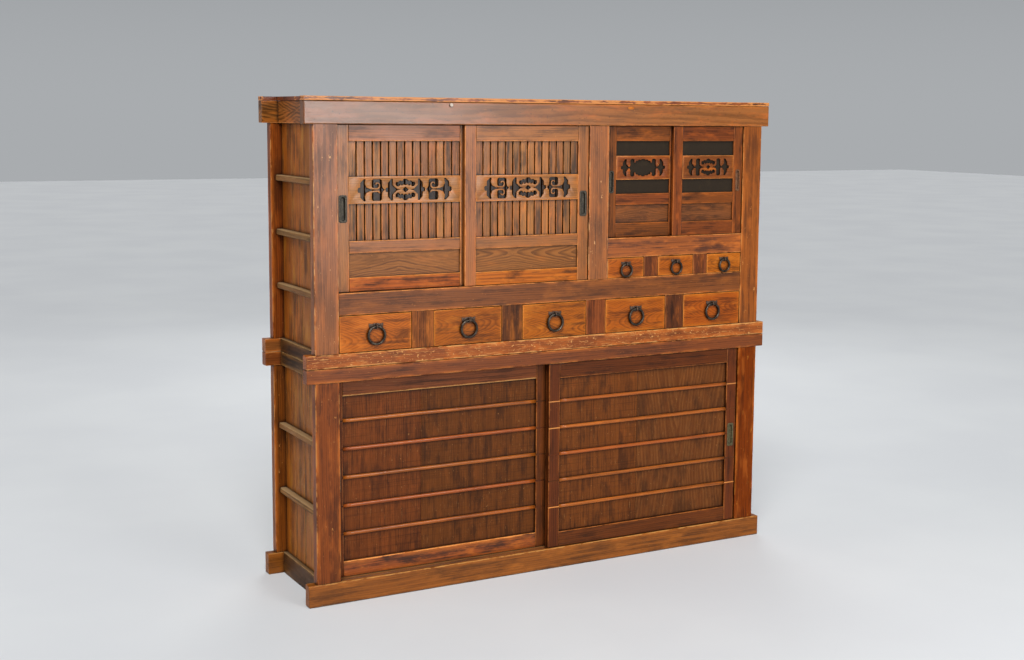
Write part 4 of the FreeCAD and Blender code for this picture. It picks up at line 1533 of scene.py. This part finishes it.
def slopes(before: Vector, here: Vector, there: Vector, beyond: Vector) -> tuple[Vector, Vector]:
    """Slopes at the ends of a chord, from the points before and after it.

    Args:
        before: The point before the chord, or its start at a corner.
        here: The chord's start.
        there: The chord's end.
        beyond: The point after the chord, or its end at a corner.

    Returns:
        The slopes at its start and its end.
    """
    span = (there - here).length
    first = (here - before).normalized() + (there - here).normalized()
    last = (there - here).normalized() + (beyond - there).normalized()
    start = first.normalized() * span if (here - before).length else there - here
    end = last.normalized() * span if (beyond - there).length else there - here
    return start, end


def hermite(here: Vector, there: Vector, start: Vector, end: Vector, share: float) -> Vector:
    """A point on the smooth curve between two points.

    Args:
        here: Where the curve begins.
        there: Where it ends.
        start: Its slope at the beginning.
        end: Its slope at the end.
        share: How far along it the point is, from 0 to 1.

    Returns:
        The point.
    """
    square, cube = share * share, share * share * share
    return (
        here * (2 * cube - 3 * square + 1)
        + start * (cube - 2 * square + share)
        + there * (3 * square - 2 * cube)
        + end * (cube - square)
    )


def cut_sheet(
    name: str, loops: Iterable[list[Point2]], thickness: float, soften: float
) -> bpy.types.Mesh:
    """A flat sheet with holes and softened arrises, in the XY plane about Z = 0.

    Args:
        name: Name of the mesh.
        loops: Its outline and holes.
        thickness: Its thickness.
        soften: Rounding of its arrises.

    Returns:
        The mesh.
    """
    curve = bpy.data.curves.new(name, "CURVE")
    curve.dimensions = "2D"
    curve.fill_mode = "BOTH"
    curve.extrude = thickness / 2 - soften
    curve.bevel_depth = soften
    curve.bevel_resolution = 1
    curve.offset = -soften
    for loop in loops:
        spline = curve.splines.new("POLY")
        spline.points.add(len(loop) - 1)
        for point, place in zip(spline.points, loop):
            point.co = (place[0], place[1], 0.0, 1.0)
        spline.use_cyclic_u = True
    holder = bpy.data.objects.new(name, curve)
    mesh = bpy.data.meshes.new_from_object(holder)
    bpy.data.objects.remove(holder)
    bpy.data.curves.remove(curve)
    shape = bmesh.new()
    shape.from_mesh(mesh)
    bmesh.ops.remove_doubles(shape, verts=shape.verts, dist=WELD)
    bmesh.ops.recalc_face_normals(shape, faces=shape.faces)
    shape.to_mesh(mesh)
    shape.free()
    return mesh


def dress_mesh(mesh: bpy.types.Mesh, number: float, sharp: float) -> None:
    """Set a mesh's surface attributes and shading.

    Args:
        mesh: The mesh, already in place.
        number: The piece's own number from 0 to 1.
        sharp: The turn above which an edge is shaded as an edge.
    """
    solid = Solid([vertex.co.copy() for vertex in mesh.vertices], [], number)
    places, halves = [], []
    for corner in solid.corners:
        places.extend(solid.place(corner))
        halves.extend(solid.halves())
    set_attributes(mesh, places, halves, [number] * len(solid.corners))
    shape = bmesh.new()
    shape.from_mesh(mesh)
    for face in shape.faces:
        face.smooth = True
    for edge in shape.edges:
        edge.smooth = edge.calc_face_angle(0.0) < sharp
    shape.to_mesh(mesh)
    shape.free()


def link_piece(
    mesh: bpy.types.Mesh, node: str, suffix: str, material: bpy.types.Material
) -> bpy.types.Object:
    """Make a piece of a mesh and settle it in the place of its node.

    Args:
        mesh: The mesh, in place.
        node: The node that it stands for.
        suffix: What its name adds to the node's name.
        material: Its material.

    Returns:
        The piece.
    """
    mesh.materials.append(material)
    return settle(place_object(node + suffix, mesh), node)


# Turns a sheet from the XY plane to stand upright and face the front, or to face the side.
UPRIGHT = Matrix(((1, 0, 0, 0), (0, 0, -1, 0), (0, 1, 0, 0), (0, 0, 0, 1)))
SIDEWAYS = Matrix(((0, 0, 1, 0), (1, 0, 0, 0), (0, 1, 0, 0), (0, 0, 0, 1)))


@dataclass
class Frieze:
    """A pierced board between a door's stiles.

    Attributes:
        node: Its node.
        finish: Its finish.
        soften: Rounding of the cut-outs' arrises.
        straight: A chord above this length is a straight run.
        sharp: The turn above which an edge is shaded as an edge.
    """

    node: str
    finish: WoodFinish
    soften: float = 0.0005
    straight: float = 0.0125
    sharp: float = math.radians(35)

    def build(self) -> bpy.types.Object:
        """Build the board from its outlines.

        Returns:
            The piece.
        """
        low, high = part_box(self.node)
        loops = [
            rounded_loop(loop, CURVE_CORNER, CHORD_POINTS, self.straight)
            for loop in outline_loops(self.node, back=False)
        ]
        mesh = cut_sheet(self.node, loops, high.y - low.y, self.soften)
        mesh.transform(Matrix.Translation((0, (low.y + high.y) / 2, 0)) @ UPRIGHT)
        dress_mesh(mesh, random.Random(self.node).random(), self.sharp)
        return link_piece(mesh, self.node, "_carved", self.finish.material())


@dataclass
class LoftedCup:
    """A recessed pull: a flat rim round a slot, and the cup behind it.

    Attributes:
        node: Its node.
        slot: Width and height of the slot.
        finish: Its finish.
        rim_corner: Rounding of the rim's corners.
        wall: Thickness of the metal.
        lip: Rounding of the rim's arrises.
        sag: Rounding of the cup's floor.
        flange: Thickness of the rim.
        segments: Points on each corner of an outline.
        sharp: The turn above which an edge is shaded as an edge.
    """

    node: str
    slot: Point2
    finish: MetalFinish
    rim_corner: float = 0.007
    wall: float = 0.0012
    lip: float = 0.0004
    sag: float = 0.0028
    flange: float = 0.001
    segments: int = 10
    sharp: float = math.radians(50)

    def outline(self, width: float, height: float, corner: float, level: float) -> list[Vector]:
        """A rounded rectangle about the pull's middle.

        Args:
            width: Its width.
            height: Its height.
            corner: Rounding of its corners.
            level: Its place from front to back.

        Returns:
            Its points, the same number for every size.
        """
        low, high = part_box(self.node)
        middle = (low + high) / 2
        corner = min(corner, width / 2, height / 2)
        points = []
        for quarter, (across, up) in enumerate(((1, 1), (-1, 1), (-1, -1), (1, -1))):
            for number in range(self.segments + 1):
                turn = math.pi / 2 * (quarter + number / self.segments)
                points.append(Vector((
                    middle.x + across * (width / 2 - corner) + corner * math.cos(turn),
                    level,
                    middle.z + up * (height / 2 - corner) + corner * math.sin(turn),
                )))
        return points

    def slot_outline(self, grow: float, level: float) -> list[Vector]:
        """The slot's outline, grown by a margin, at a place from front to back."""
        width, height = self.slot
        return self.outline(width + 2 * grow, height + 2 * grow, width / 2 + grow, level)

    def rim_outline(self, grow: float, level: float) -> list[Vector]:
        """The rim's outline, grown by a margin, at a place from front to back."""
        low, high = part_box(self.node)
        width, height = high.x - low.x, high.z - low.z
        return self.outline(width + 2 * grow, height + 2 * grow, self.rim_corner + grow, level)

    def build(self) -> bpy.types.Object:
        """Build the cup as one closed skin, from its floor over the lip and rim to its back.

        Returns:
            The piece.
        """
        low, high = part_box(self.node)
        front, back = low.y, high.y
        face = front + self.flange
        floor = back - self.wall
        lip, sag = self.lip, self.sag
        cup = (
            (-1.6 * sag, floor), (-sag, floor - 0.06 * sag), (-0.3 * sag, floor - 0.35 * sag),
            (0.0, floor - sag), (0.0, front + lip), (0.3 * lip, front + 0.3 * lip), (lip, front),
        )
        rim = ((-lip, front), (-0.3 * lip, front + 0.3 * lip), (0.0, front + lip), (0.0, face))
        outside = ((self.wall, face), (self.wall, back - sag), (self.wall - sag, back))
        skin = loft([
            *(self.slot_outline(*place) for place in cup),
            *(self.rim_outline(*place) for place in rim),
            *(self.slot_outline(*place) for place in outside),
        ])
        mesh = to_mesh(skin, self.node)
        dress_mesh(mesh, random.Random(self.node).random(), self.sharp)
        return link_piece(mesh, self.node, "_cup", self.finish.material())


@dataclass
class RingPull:
    """A forged ring in its eye on a shaped backplate.

    Attributes:
        drawer: Name of the drawer that carries it.
        diameter: Outer diameter of the ring.
        wire: Thickness of the ring.
        plate: Thickness of the backplate.
        straight: A chord of the plate's outline above this length is a straight run.
        plate_soften: Rounding of the plate's arrises.
        eye_soften: Rounding of the eye's arrises.
        eye_width: Width of the eye.
        eye_wall: Thickness of the eye round the ring.
        play: Clearance of the ring in its eye.
        blunt: How far the eye's nose reaches, as a share of a full round.
        thinnest: Least thickness of the wire, as a share of its full thickness.
        foot_gain: How much thicker the ring's foot is, as such a share.
        hammered: How uneven the hammer left it, as such a share.
        lengths: Cross sections round the ring.
        sides: Points round the wire.
        nose_chords: Chords round the eye's nose.
        bore_chords: Chords round its bore.
    """

    drawer: str
    diameter: float
    wire: float
    plate: float = 0.0018
    straight: float = 0.03
    plate_soften: float = 0.0004
    eye_soften: float = 0.0005
    eye_width: float = 0.005
    eye_wall: float = 0.0026
    play: float = 0.0004
    blunt: float = 0.93
    thinnest: float = 0.95
    foot_gain: float = 0.03
    hammered: float = 0.02
    lengths: int = 72
    sides: int = 20
    nose_chords: int = 24
    bore_chords: int = 32

    plate_sharp = math.radians(38)
    ring_sharp = math.radians(60)

    def pivot(self) -> Vector:
        """Middle of the wire where it hangs in its eye."""
        low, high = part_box(self.drawer + "_ring")
        middle = (low + high) / 2
        reach = (self.diameter - self.wire) / 2
        return middle + Vector((0, 0, reach))

    def build(self) -> list[bpy.types.Object]:
        """Build the plate with its eye, and the ring.

        Returns:
            Both pieces.
        """
        return [self.build_plate(), self.build_ring()]

    def build_plate(self) -> bpy.types.Object:
        """Build the backplate and the eye.

        Returns:
            The piece.
        """
        node = self.drawer + "_plate"
        low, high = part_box(node)
        outline = rounded_loop(
            outline_loops(node, back=True)[0], CURVE_CORNER, CHORD_POINTS, self.straight
        )
        plate = cut_sheet(node, [outline], self.plate, self.plate_soften)
        plate.transform(Matrix.Translation((0, high.y - self.plate / 2, 0)) @ UPRIGHT)
        eye = self.eye_mesh(node, high.y)
        shape = bmesh.new()
        shape.from_mesh(plate)
        shape.from_mesh(eye)
        shape.to_mesh(plate)
        shape.free()
        dress_mesh(plate, random.Random(node).random(), self.plate_sharp)
        return link_piece(plate, node, "_iron", Metals.plate.material())

    def eye_mesh(self, name: str, root: float) -> bpy.types.Mesh:
        """The rounded lug that the ring hangs in.

        Args:
            name: Name of the mesh.
            root: Where the drawer's face is, from front to back.

        Returns:
            The mesh, in place.
        """
        pivot = self.pivot()
        bore = self.wire / 2 + self.play
        outer = bore + self.eye_wall
        sink = root - 0.5 * self.plate - pivot.y
        turns = [math.pi * number / self.nose_chords for number in range(self.nose_chords + 1)]
        nose = [(-self.blunt * outer * math.sin(turn), outer * math.cos(turn)) for turn in turns]
        loop = [(sink, outer), *nose, (sink, -outer)]
        turns = [2 * math.pi * number / self.bore_chords for number in range(self.bore_chords)]
        hole = [(bore * math.cos(turn), bore * math.sin(turn)) for turn in turns]
        eye = cut_sheet(name, [loop, hole], self.eye_width, self.eye_soften)
        eye.transform(Matrix.Translation(pivot) @ SIDEWAYS)
        return eye

    def build_ring(self) -> bpy.types.Object:
        """Build the ring, a little thicker at its foot and uneven from the hammer.

        Returns:
            The piece.
        """
        node = self.drawer + "_ring"
        pivot = self.pivot()
        chance = random.Random(node)
        key = chance.random()
        reach = (self.diameter - self.wire) / 2
        centre = pivot - Vector((0, 0, reach))
        points, faces = [], []
        for number in range(self.lengths):
            turn = 2 * math.pi * number / self.lengths
            foot = (1 - math.cos(turn)) / 2
            uneven = noise.noise(Vector((math.cos(turn) * 2.2, math.sin(turn) * 2.2, 30 * key)))
            share = self.thinnest + self.foot_gain * foot + self.hammered * uneven
            radius = self.wire / 2 * share
            for side in range(self.sides):
                around = 2 * math.pi * side / self.sides
                away = reach + radius * math.cos(around)
                points.append(centre + Vector((
                    away * math.sin(turn), radius * math.sin(around), away * math.cos(turn)
                )))
        for number in range(self.lengths):
            here, there = number * self.sides, (number + 1) % self.lengths * self.sides
            for side in range(self.sides):
                beside = (side + 1) % self.sides
                faces.append((here + side, here + beside, there + beside, there + side))
        mesh = bpy.data.meshes.new(node)
        mesh.from_pydata([tuple(point) for point in points], [], faces)
        dress_mesh(mesh, key, self.ring_sharp)
        return link_piece(mesh, node, "_iron", Metals.iron.material())


@dataclass
class Drawer:
    """A drawer with its ring pull.

    Attributes:
        name: Its node and body.
        ring: Diameter and wire of its ring.
        finish: Finish of its front.
        front_depth: How far behind the foremost plane its front board begins.
        soften: Rounding of its arrises.
        bite: How deep they are worn.
    """

    name: str
    ring: Point2
    finish: WoodFinish = Woods.drawer
    front_depth: float = 0.001
    soften: float = 0.0007
    bite: float = 0.0008

    def build(self) -> list[bpy.types.Object]:
        """Build the box and its pull.

        Returns:
            The pieces.
        """
        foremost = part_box(self.name)[0].y + self.front_depth

        def pick(solid: Solid) -> WoodFinish:
            """The front is figured and stained, the rest is raw."""
            return self.finish if solid.low.y < foremost else Woods.raw

        box = WoodPiece(self.name, pick, self.soften, self.bite)
        return [box.build(), *RingPull(self.name, *self.ring).build()]


@dataclass
class SlidingDoor:
    """What the three kinds of sliding door share.

    Attributes:
        name: Name of the door and of its body.
        slot: Width and height of the pull's slot.
        foot_band: A rail that begins within this height of the frame's foot is the bottom rail.
        pull_finish: Finish of the pull.
        soften: Rounding of the frame's arrises.
        bite: How deep they are worn.
    """

    name: str
    slot: Point2 = (0.015, 0.075)
    foot_band: float = 0.02
    pull_finish: MetalFinish = Metals.bronze
    soften: float = 0.0007
    bite: float = 0.0009

    def is_foot(self, solid: Solid) -> bool:
        """True for the bottom rail."""
        return solid.grain == 0 and solid.low.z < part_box(self.name + "_frame")[0].z + self.foot_band

    def frame_finish(self, solid: Solid) -> WoodFinish:
        """The finish of a member of the frame."""
        return Woods.door_foot if self.is_foot(solid) else Woods.door

    def build(self) -> list[bpy.types.Object]:
        """Build the frame, the pull and what fills the frame.

        Returns:
            The pieces.
        """
        frame_piece = WoodPiece(self.name + "_frame", self.frame_finish, self.soften, self.bite)
        pull = LoftedCup(self.name + "_pull", self.slot, self.pull_finish)
        return [frame_piece.build(), pull.build(), *self.filling()]

    def filling(self) -> list[bpy.types.Object]:
        """Build what fills the frame; each kind of door has its own."""
        raise NotImplementedError


@dataclass
class WideDoor(SlidingDoor):
    """A door with upright slats, a frieze across them and a panel below.

    Attributes:
        slat_soften: Rounding of the slats' arrises.
        slat_bite: How deep they are worn.
    """

    slat_soften: float = 0.0005
    slat_bite: float = 0.0007

    def filling(self) -> list[bpy.types.Object]:
        """Build the slats with the panel, and the frieze."""
        low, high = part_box(self.name + "_frieze")
        middle, half = (low.z + high.z) / 2, (high.z - low.z) / 2

        def pick(solid: Solid) -> WoodFinish:
            """Upright members are slats, the one that lies across is the panel."""
            if solid.grain != 2:
                return Woods.door_panel
            # The slats' stretch behind the frieze gets painted shadow.
            band = (middle - solid.centre.z, half)
            return replace(Woods.slat, name=self.name + "_slat_mixed", shadow_band=band)

        slats = WoodPiece(self.name + "_slats", pick, self.slat_soften, self.slat_bite)
        return [slats.build(), Frieze(self.name + "_frieze", Woods.frieze).build()]


@dataclass
class NarrowDoor(SlidingDoor):
    """A door with dark mesh, a frieze across it and a panel below.

    Attributes:
        slot: Width and height of the pull's slot.
        panel_depth: Thickness under which a member is the panel.
    """

    slot: Point2 = (0.011, 0.070)
    panel_depth: float = 0.006

    def frame_finish(self, solid: Solid) -> WoodFinish:
        """The thin member is the panel, the others are the frame."""
        thin = 2 * min(solid.half) < self.panel_depth
        return Woods.narrow_panel if thin else Woods.narrow_door

    def filling(self) -> list[bpy.types.Object]:
        """Build the frieze and the mesh."""
        frieze = Frieze(self.name + "_frieze", Woods.narrow_frieze)
        return [frieze.build(), Gauze(self.name + "_mesh").build()]


@dataclass
class Gauze:
    """The stretched mesh of a narrow door.

    Attributes:
        node: Its node.
        slack: How far it stands off its plane in places.
        cells: Divisions along and up it.
        waves: How often the slack comes and goes in a metre.
        sharp: The turn above which an edge is shaded as an edge.
    """

    node: str
    slack: float = 0.00025
    cells: tuple[int, int] = (40, 48)
    waves: float = 22
    sharp: float = math.radians(40)

    def build(self) -> bpy.types.Object:
        """Build the mesh as a thin closed sheet with a little slack.

        Returns:
            The piece.
        """
        low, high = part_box(self.node)
        columns, rows = self.cells
        number = random.Random(self.node).random()
        key = 20 * number
        shape = bmesh.new()
        sheets = []
        for level, inwards in ((low.y, 1), (high.y, -1)):
            grid = []
            for row in range(rows + 1):
                for column in range(columns + 1):
                    x = low.x + (high.x - low.x) * column / columns
                    z = low.z + (high.z - low.z) * row / rows
                    wave = 0.5 + 0.5 * noise.noise(Vector((x * self.waves, z * self.waves, key)))
                    grid.append(shape.verts.new((x, level + inwards * self.slack * wave, z)))
            sheets.append(grid)
        width = columns + 1
        for row in range(rows):
            for column in range(columns):
                start = row * width + column
                for sheet in sheets:
                    shape.faces.new((
                        sheet[start], sheet[start + 1], sheet[start + width + 1], sheet[start + width]
                    ))
        border = list(range(width))
        border += [row * width + columns for row in range(1, rows + 1)]
        border += [rows * width + column for column in range(columns - 1, -1, -1)]
        border += [row * width for row in range(rows - 1, 0, -1)]
        for here, there in zip(border, border[1:] + border[:1]):
            shape.faces.new((sheets[0][here], sheets[0][there], sheets[1][there], sheets[1][here]))
        bmesh.ops.recalc_face_normals(shape, faces=shape.faces)
        mesh = to_mesh(shape, self.node)
        dress_mesh(mesh, number, self.sharp)
        return link_piece(mesh, self.node, "_gauze", Metals.gauze.material())


@dataclass
class Rods:
    """The half-round rods across a base door, with thin tenons let into its stiles.

    Attributes:
        door: Name of the door.
        depth: How far a rod stands out from the boards.
        tenon: Height and depth of a tenon.
        sides: Chords round the rod.
        step: Distance between cross sections.
        sway: How far a rod strays from a true line.
        fullness: Power of its cross section: 1 is a half round, less is fuller.
        slimming: How much thinner a rod gets in places, as a share.
        pale_share: Share of the tenons that are rubbed pale.
        tenon_soften: Rounding of the tenons' arrises.
    """

    door: str
    depth: float = 0.009
    tenon: Point2 = (0.004, 0.006)
    sides: int = 14
    step: float = 0.03
    sway: float = 0.0002
    fullness: float = 0.4
    slimming: float = 0.01
    pale_share: float = 0.4
    tenon_soften: float = 0.0003

    def build(self) -> bpy.types.Object:
        """Build the rods.

        Returns:
            The piece.
        """
        node = self.door + "_rods"
        bay_low, bay_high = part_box(self.door + "_boards")
        timber = Timber(soften=self.tenon_soften, ripple=0.0, bite=0.0)
        chance = random.Random(node)
        for solid in read_solids(node):
            self.add_rod(timber, solid, bay_low.x, bay_high.x)
            spans = ((solid.low.x, bay_low.x), (bay_high.x, solid.high.x))
            for start, end in spans:
                if end - start < MILLIMETRE:
                    continue
                front, level = solid.low.y, solid.centre.z
                low = Vector((start, front, level - self.tenon[0] / 2))
                high = Vector((end, front + self.tenon[1], level + self.tenon[0] / 2))
                look = 1 if chance.random() < self.pale_share else 2
                timber.add(box_solid(low, high, solid.number), look)
        piece = timber.finish(node + "_wood")
        for finish in (Woods.rod, Woods.tenon, Woods.dull_tenon):
            piece.data.materials.append(finish.material())
        return settle(piece, node)

    def add_rod(self, timber: Timber, solid: Solid, left: float, right: float) -> None:
        """Add one rod between the stiles.

        Args:
            timber: The mesh that gathers the rods.
            solid: The rod's solid.
            left: Where the left stile ends.
            right: Where the right stile begins.
        """
        half = solid.half.z
        count = int((right - left) / self.step)
        key = 20 * solid.number
        sections = []
        for number in range(count + 1):
            x = left + (right - left) * number / count
            lean = self.sway * noise.noise(Vector((x * 6, key, 0.3)))
            slim = 1 - self.slimming * (0.5 + 0.5 * noise.noise(Vector((x * 14, key, 5.1))))
            section = []
            for side in range(self.sides + 1):
                turn = math.pi * (side / self.sides - 0.5)
                section.append(Vector((
                    x,
                    solid.high.y - self.depth * slim * max(0.0, math.cos(turn)) ** self.fullness,
                    solid.centre.z + (half - self.sway) * slim * math.sin(turn) + lean,
                )))
            sections.append(section)
        shape = loft(sections)
        timber.keep(shape, solid, 0)
        shape.free()


@dataclass
class BaseDoor(SlidingDoor):
    """A large door with upright boards and rods across them.

    Attributes:
        rubbed: Whether its rails are rubbed pale, as the door in the rear track is.
        arched_from: A board of the right door whose number is above this shows its arches.
        board_soften: Rounding of the boards' arrises.
    """

    rubbed: bool = False
    arched_from: float = 0.4
    board_soften: float = 0.0005

    def frame_finish(self, solid: Solid) -> WoodFinish:
        """The finish of a member of the frame."""
        if solid.grain != 0 or not self.rubbed:
            return Woods.base_door
        return Woods.base_door_foot if self.is_foot(solid) else Woods.base_door_rail

    def board_finish(self, solid: Solid) -> WoodFinish:
        """Some boards of the right door were sawn flat and show their arches."""
        arched = solid.centre.x > 0 and solid.number > self.arched_from
        return Woods.base_board_arched if arched else Woods.base_board

    def filling(self) -> list[bpy.types.Object]:
        """Build the boards and the rods."""
        boards = WoodPiece(self.name + "_boards", self.board_finish, self.board_soften)
        rods = Rods(self.name, pale_share=0.0) if self.rubbed else Rods(self.name)
        return [boards.build(), rods.build()]


@dataclass
class Stud:
    """A small round or oval piece let into the front beam.

    Attributes:
        name: Its name.
        place: Its middle along the beam, and its level.
        size: Its width and height.
        stands: How far it stands out of the beam.
        finish: Its finish.
        root: How deep it sits in the beam.
        sides: Points round it.
        sharp: The turn above which an edge is shaded as an edge.
    """

    name: str
    place: Point2
    size: Point2
    stands: float
    finish: WoodFinish
    root: float = 0.0015
    sides: int = 28
    sharp: float = math.radians(50)

    # Each ring's width, as a share of the full one, and how far it stands out; the first is sunk.
    crown_shares = ((1.0, -1.0), (1.0, 0.35), (0.93, 0.72), (0.8, 0.92), (0.5, 1.0))

    def build(self) -> list[bpy.types.Object]:
        """Build it as one closed skin with a crowned face.

        Returns:
            The piece, alone in a list.
        """
        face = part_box("upper_rails")[0].y
        across, up = self.size[0] / 2, self.size[1] / 2
        turns = [2 * math.pi * number / self.sides for number in range(self.sides)]
        rings = []
        for wide, out in self.crown_shares:
            level = face + self.root if out < 0 else face - out * self.stands
            rings.append([
                Vector((
                    self.place[0] + wide * across * math.cos(turn),
                    level,
                    self.place[1] + wide * up * math.sin(turn),
                ))
                for turn in turns
            ])
        mesh = to_mesh(loft(rings), self.name)
        dress_mesh(mesh, random.Random(self.name).random(), self.sharp)
        mesh.materials.append(self.finish.material())
        piece = place_object(self.name, mesh)
        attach(piece, BODY_OF["upper_rails"])
        return [piece]


@dataclass
class Studio:
    """Floor, lights and camera.

    Attributes:
        eye: Where the camera stands.
        turn: Turn of its view from +Y towards +X, in degrees.
        dip: How far it looks down, in degrees.
        roll: How far it leans, in degrees.
        lens: Focal length in millimetres.
        sensor: Width of the sensor in millimetres.
        shift: Shift of the frame, as shares of its width.
        floor_reach: Half of the floor's width.
    """

    eye: tuple[float, float, float] = (-2.4907, -4.5375, 1.5953)
    turn: float = 29.77
    dip: float = 7.12
    roll: float = 0.54
    lens: float = 50.97
    sensor: float = 36.0
    shift: Point2 = (-0.0381, -0.0326)
    floor_reach: float = 30.0

    def build(self) -> None:
        """Build the floor, the lights, the sky and the camera."""
        self.build_floor()
        self.build_sun("key_light", (0.42, 0.72, -0.86), 34.0, 2.75)
        self.build_light("sheen_light", (0.6, -4.2, 1.7), (-0.5, 0.0, 1.3), (1.7, 1.5), 75.0)
        self.build_light("gloss_light", (0.9, -4.4, 1.9), (-0.6, 0.0, 1.4), (2.2, 1.4), 72.0, True)
        self.build_light("side_light", (-4.6, 0.6, 2.4), (-0.8, 0.1, 0.9), (1.8, 1.8), 22.0)
        self.build_light("back_light", (2.2, 4.2, 3.4), (0.0, 0.2, 0.8), (2.4, 1.8), 60.0)
        world = bpy.data.worlds.new("studio_air")
        world.use_nodes = True
        graph = Graph.of_world(world)
        height = graph.split(graph.add("TexCoord", "Generated"))[2]
        air = graph.mix(height.stretch(0.0, 0.3), shade("#a9acaf"), shade("#74777b"))
        graph.put(graph.tree.nodes["Background"].inputs["Color"], air)
        bpy.context.scene.world = world
        bpy.context.scene.view_settings.view_transform = "Standard"
        self.build_camera()

    def build_floor(self) -> None:
        """Lay the plain pale floor."""
        mesh = bpy.data.meshes.new("floor")
        reach = self.floor_reach
        corners = [(-reach, -reach, 0), (reach, -reach, 0), (reach, reach, 0), (-reach, reach, 0)]
        mesh.from_pydata(corners, [], [(0, 1, 2, 3)])
        floor = place_object("floor", mesh)
        graph = Graph("floor_plain")
        spots = graph.noise(graph.add("TexCoord", "Object"), 3.0, 4.0)
        colour = graph.mix(spots.stretch(0.3, 0.7), shade("#d6d8da"), shade("#dcdedf"))
        graph.surface(Base_Color=colour, Roughness=0.6)
        mesh.materials.append(graph.material)

    def build_sun(self, name: str, way: Sequence[float], spread: float, power: float) -> None:
        """Light everything evenly from one side, with soft shadows.

        Args:
            name: Its name.
            way: The direction in which the light falls.
            spread: Width of the source in degrees.
            power: Its power per square metre.
        """
        lamp = bpy.data.lights.new(name, "SUN")
        lamp.angle = math.radians(spread)
        lamp.energy = power
        holder = place_object(name, lamp)
        holder.rotation_mode = "QUATERNION"
        holder.rotation_quaternion = Vector(way).to_track_quat("-Z", "Y")

    def build_light(
        self, name: str, place: Sequence[float], aim: Sequence[float], size: Point2, power: float,
        gloss_only: bool = False,
    ) -> None:
        """Hang one soft light.

        Args:
            name: Its name.
            place: Where it hangs.
            aim: The point that it faces.
            size: Width and height of its face.
            power: Its power in watts.
            gloss_only: Whether it is seen only in the shine of surfaces.
        """
        lamp = bpy.data.lights.new(name, "AREA")
        lamp.shape = "RECTANGLE"
        lamp.size, lamp.size_y = size
        lamp.energy = power
        holder = place_object(name, lamp)
        holder.location = place
        holder.rotation_mode = "QUATERNION"
        holder.rotation_quaternion = (Vector(aim) - Vector(place)).to_track_quat("-Z", "Y")
        holder.visible_diffuse = not gloss_only

    def build_camera(self) -> None:
        """Set the camera at the angle of the photograph."""
        turn, dip, roll = map(math.radians, (self.turn, self.dip, self.roll))
        ahead = Vector((
            math.sin(turn) * math.cos(dip), math.cos(turn) * math.cos(dip), -math.sin(dip)
        ))
        level = Vector((math.cos(turn), -math.sin(turn), 0))
        rise = level.cross(ahead)
        right = level * math.cos(roll) + rise * math.sin(roll)
        up = rise * math.cos(roll) - level * math.sin(roll)
        data = bpy.data.cameras.new("camera")
        data.lens, data.sensor_width = self.lens, self.sensor
        data.shift_x, data.shift_y = self.shift
        camera = place_object("camera", data)
        turned = Matrix((right, up, -ahead)).transposed().to_4x4()
        camera.matrix_world = Matrix.Translation(self.eye) @ turned
        bpy.context.scene.camera = camera


def main() -> None:
    """Build the cabinet's sub-assemblies in order and report each piece."""
    logging.basicConfig(level=logging.INFO, format="%(name)s: %(message)s")
    large_ring, small_ring = (0.066, 0.0084), (0.052, 0.0072)
    pale = Woods.pale_drawer
    assemblies = [
        Carcass(),
        WideDoor("wide_door_left"),
        WideDoor("wide_door_right"),
        NarrowDoor("narrow_door_left"),
        NarrowDoor("narrow_door_right", pull_finish=Metals.brass),
        BaseDoor("base_door_left", rubbed=True),
        BaseDoor("base_door_right", pull_finish=Metals.worn_bronze),
        Stud("beam_peg", (-0.402, 1.6262), (0.013, 0.013), 0.0055, Woods.peg),
        Stud("beam_plug_seat", (0.298, 1.6240), (0.031, 0.012), 0.0002, Woods.divider),
        Stud("beam_plug", (0.298, 1.6240), (0.025, 0.008), 0.0006, Woods.drawer),
        Drawer("drawer_1", large_ring, pale),
        *(Drawer(f"drawer_{number}", large_ring) for number in range(2, 6)),
        *(Drawer(f"small_drawer_{number}", small_ring, pale) for number in range(1, 4)),
    ]
    for assembly in assemblies:
        for piece in assembly.build():
            log.info("%s, %d faces", piece.name, len(piece.data.polygons))
    Studio().build()


if __name__ == "__main__":
    main()
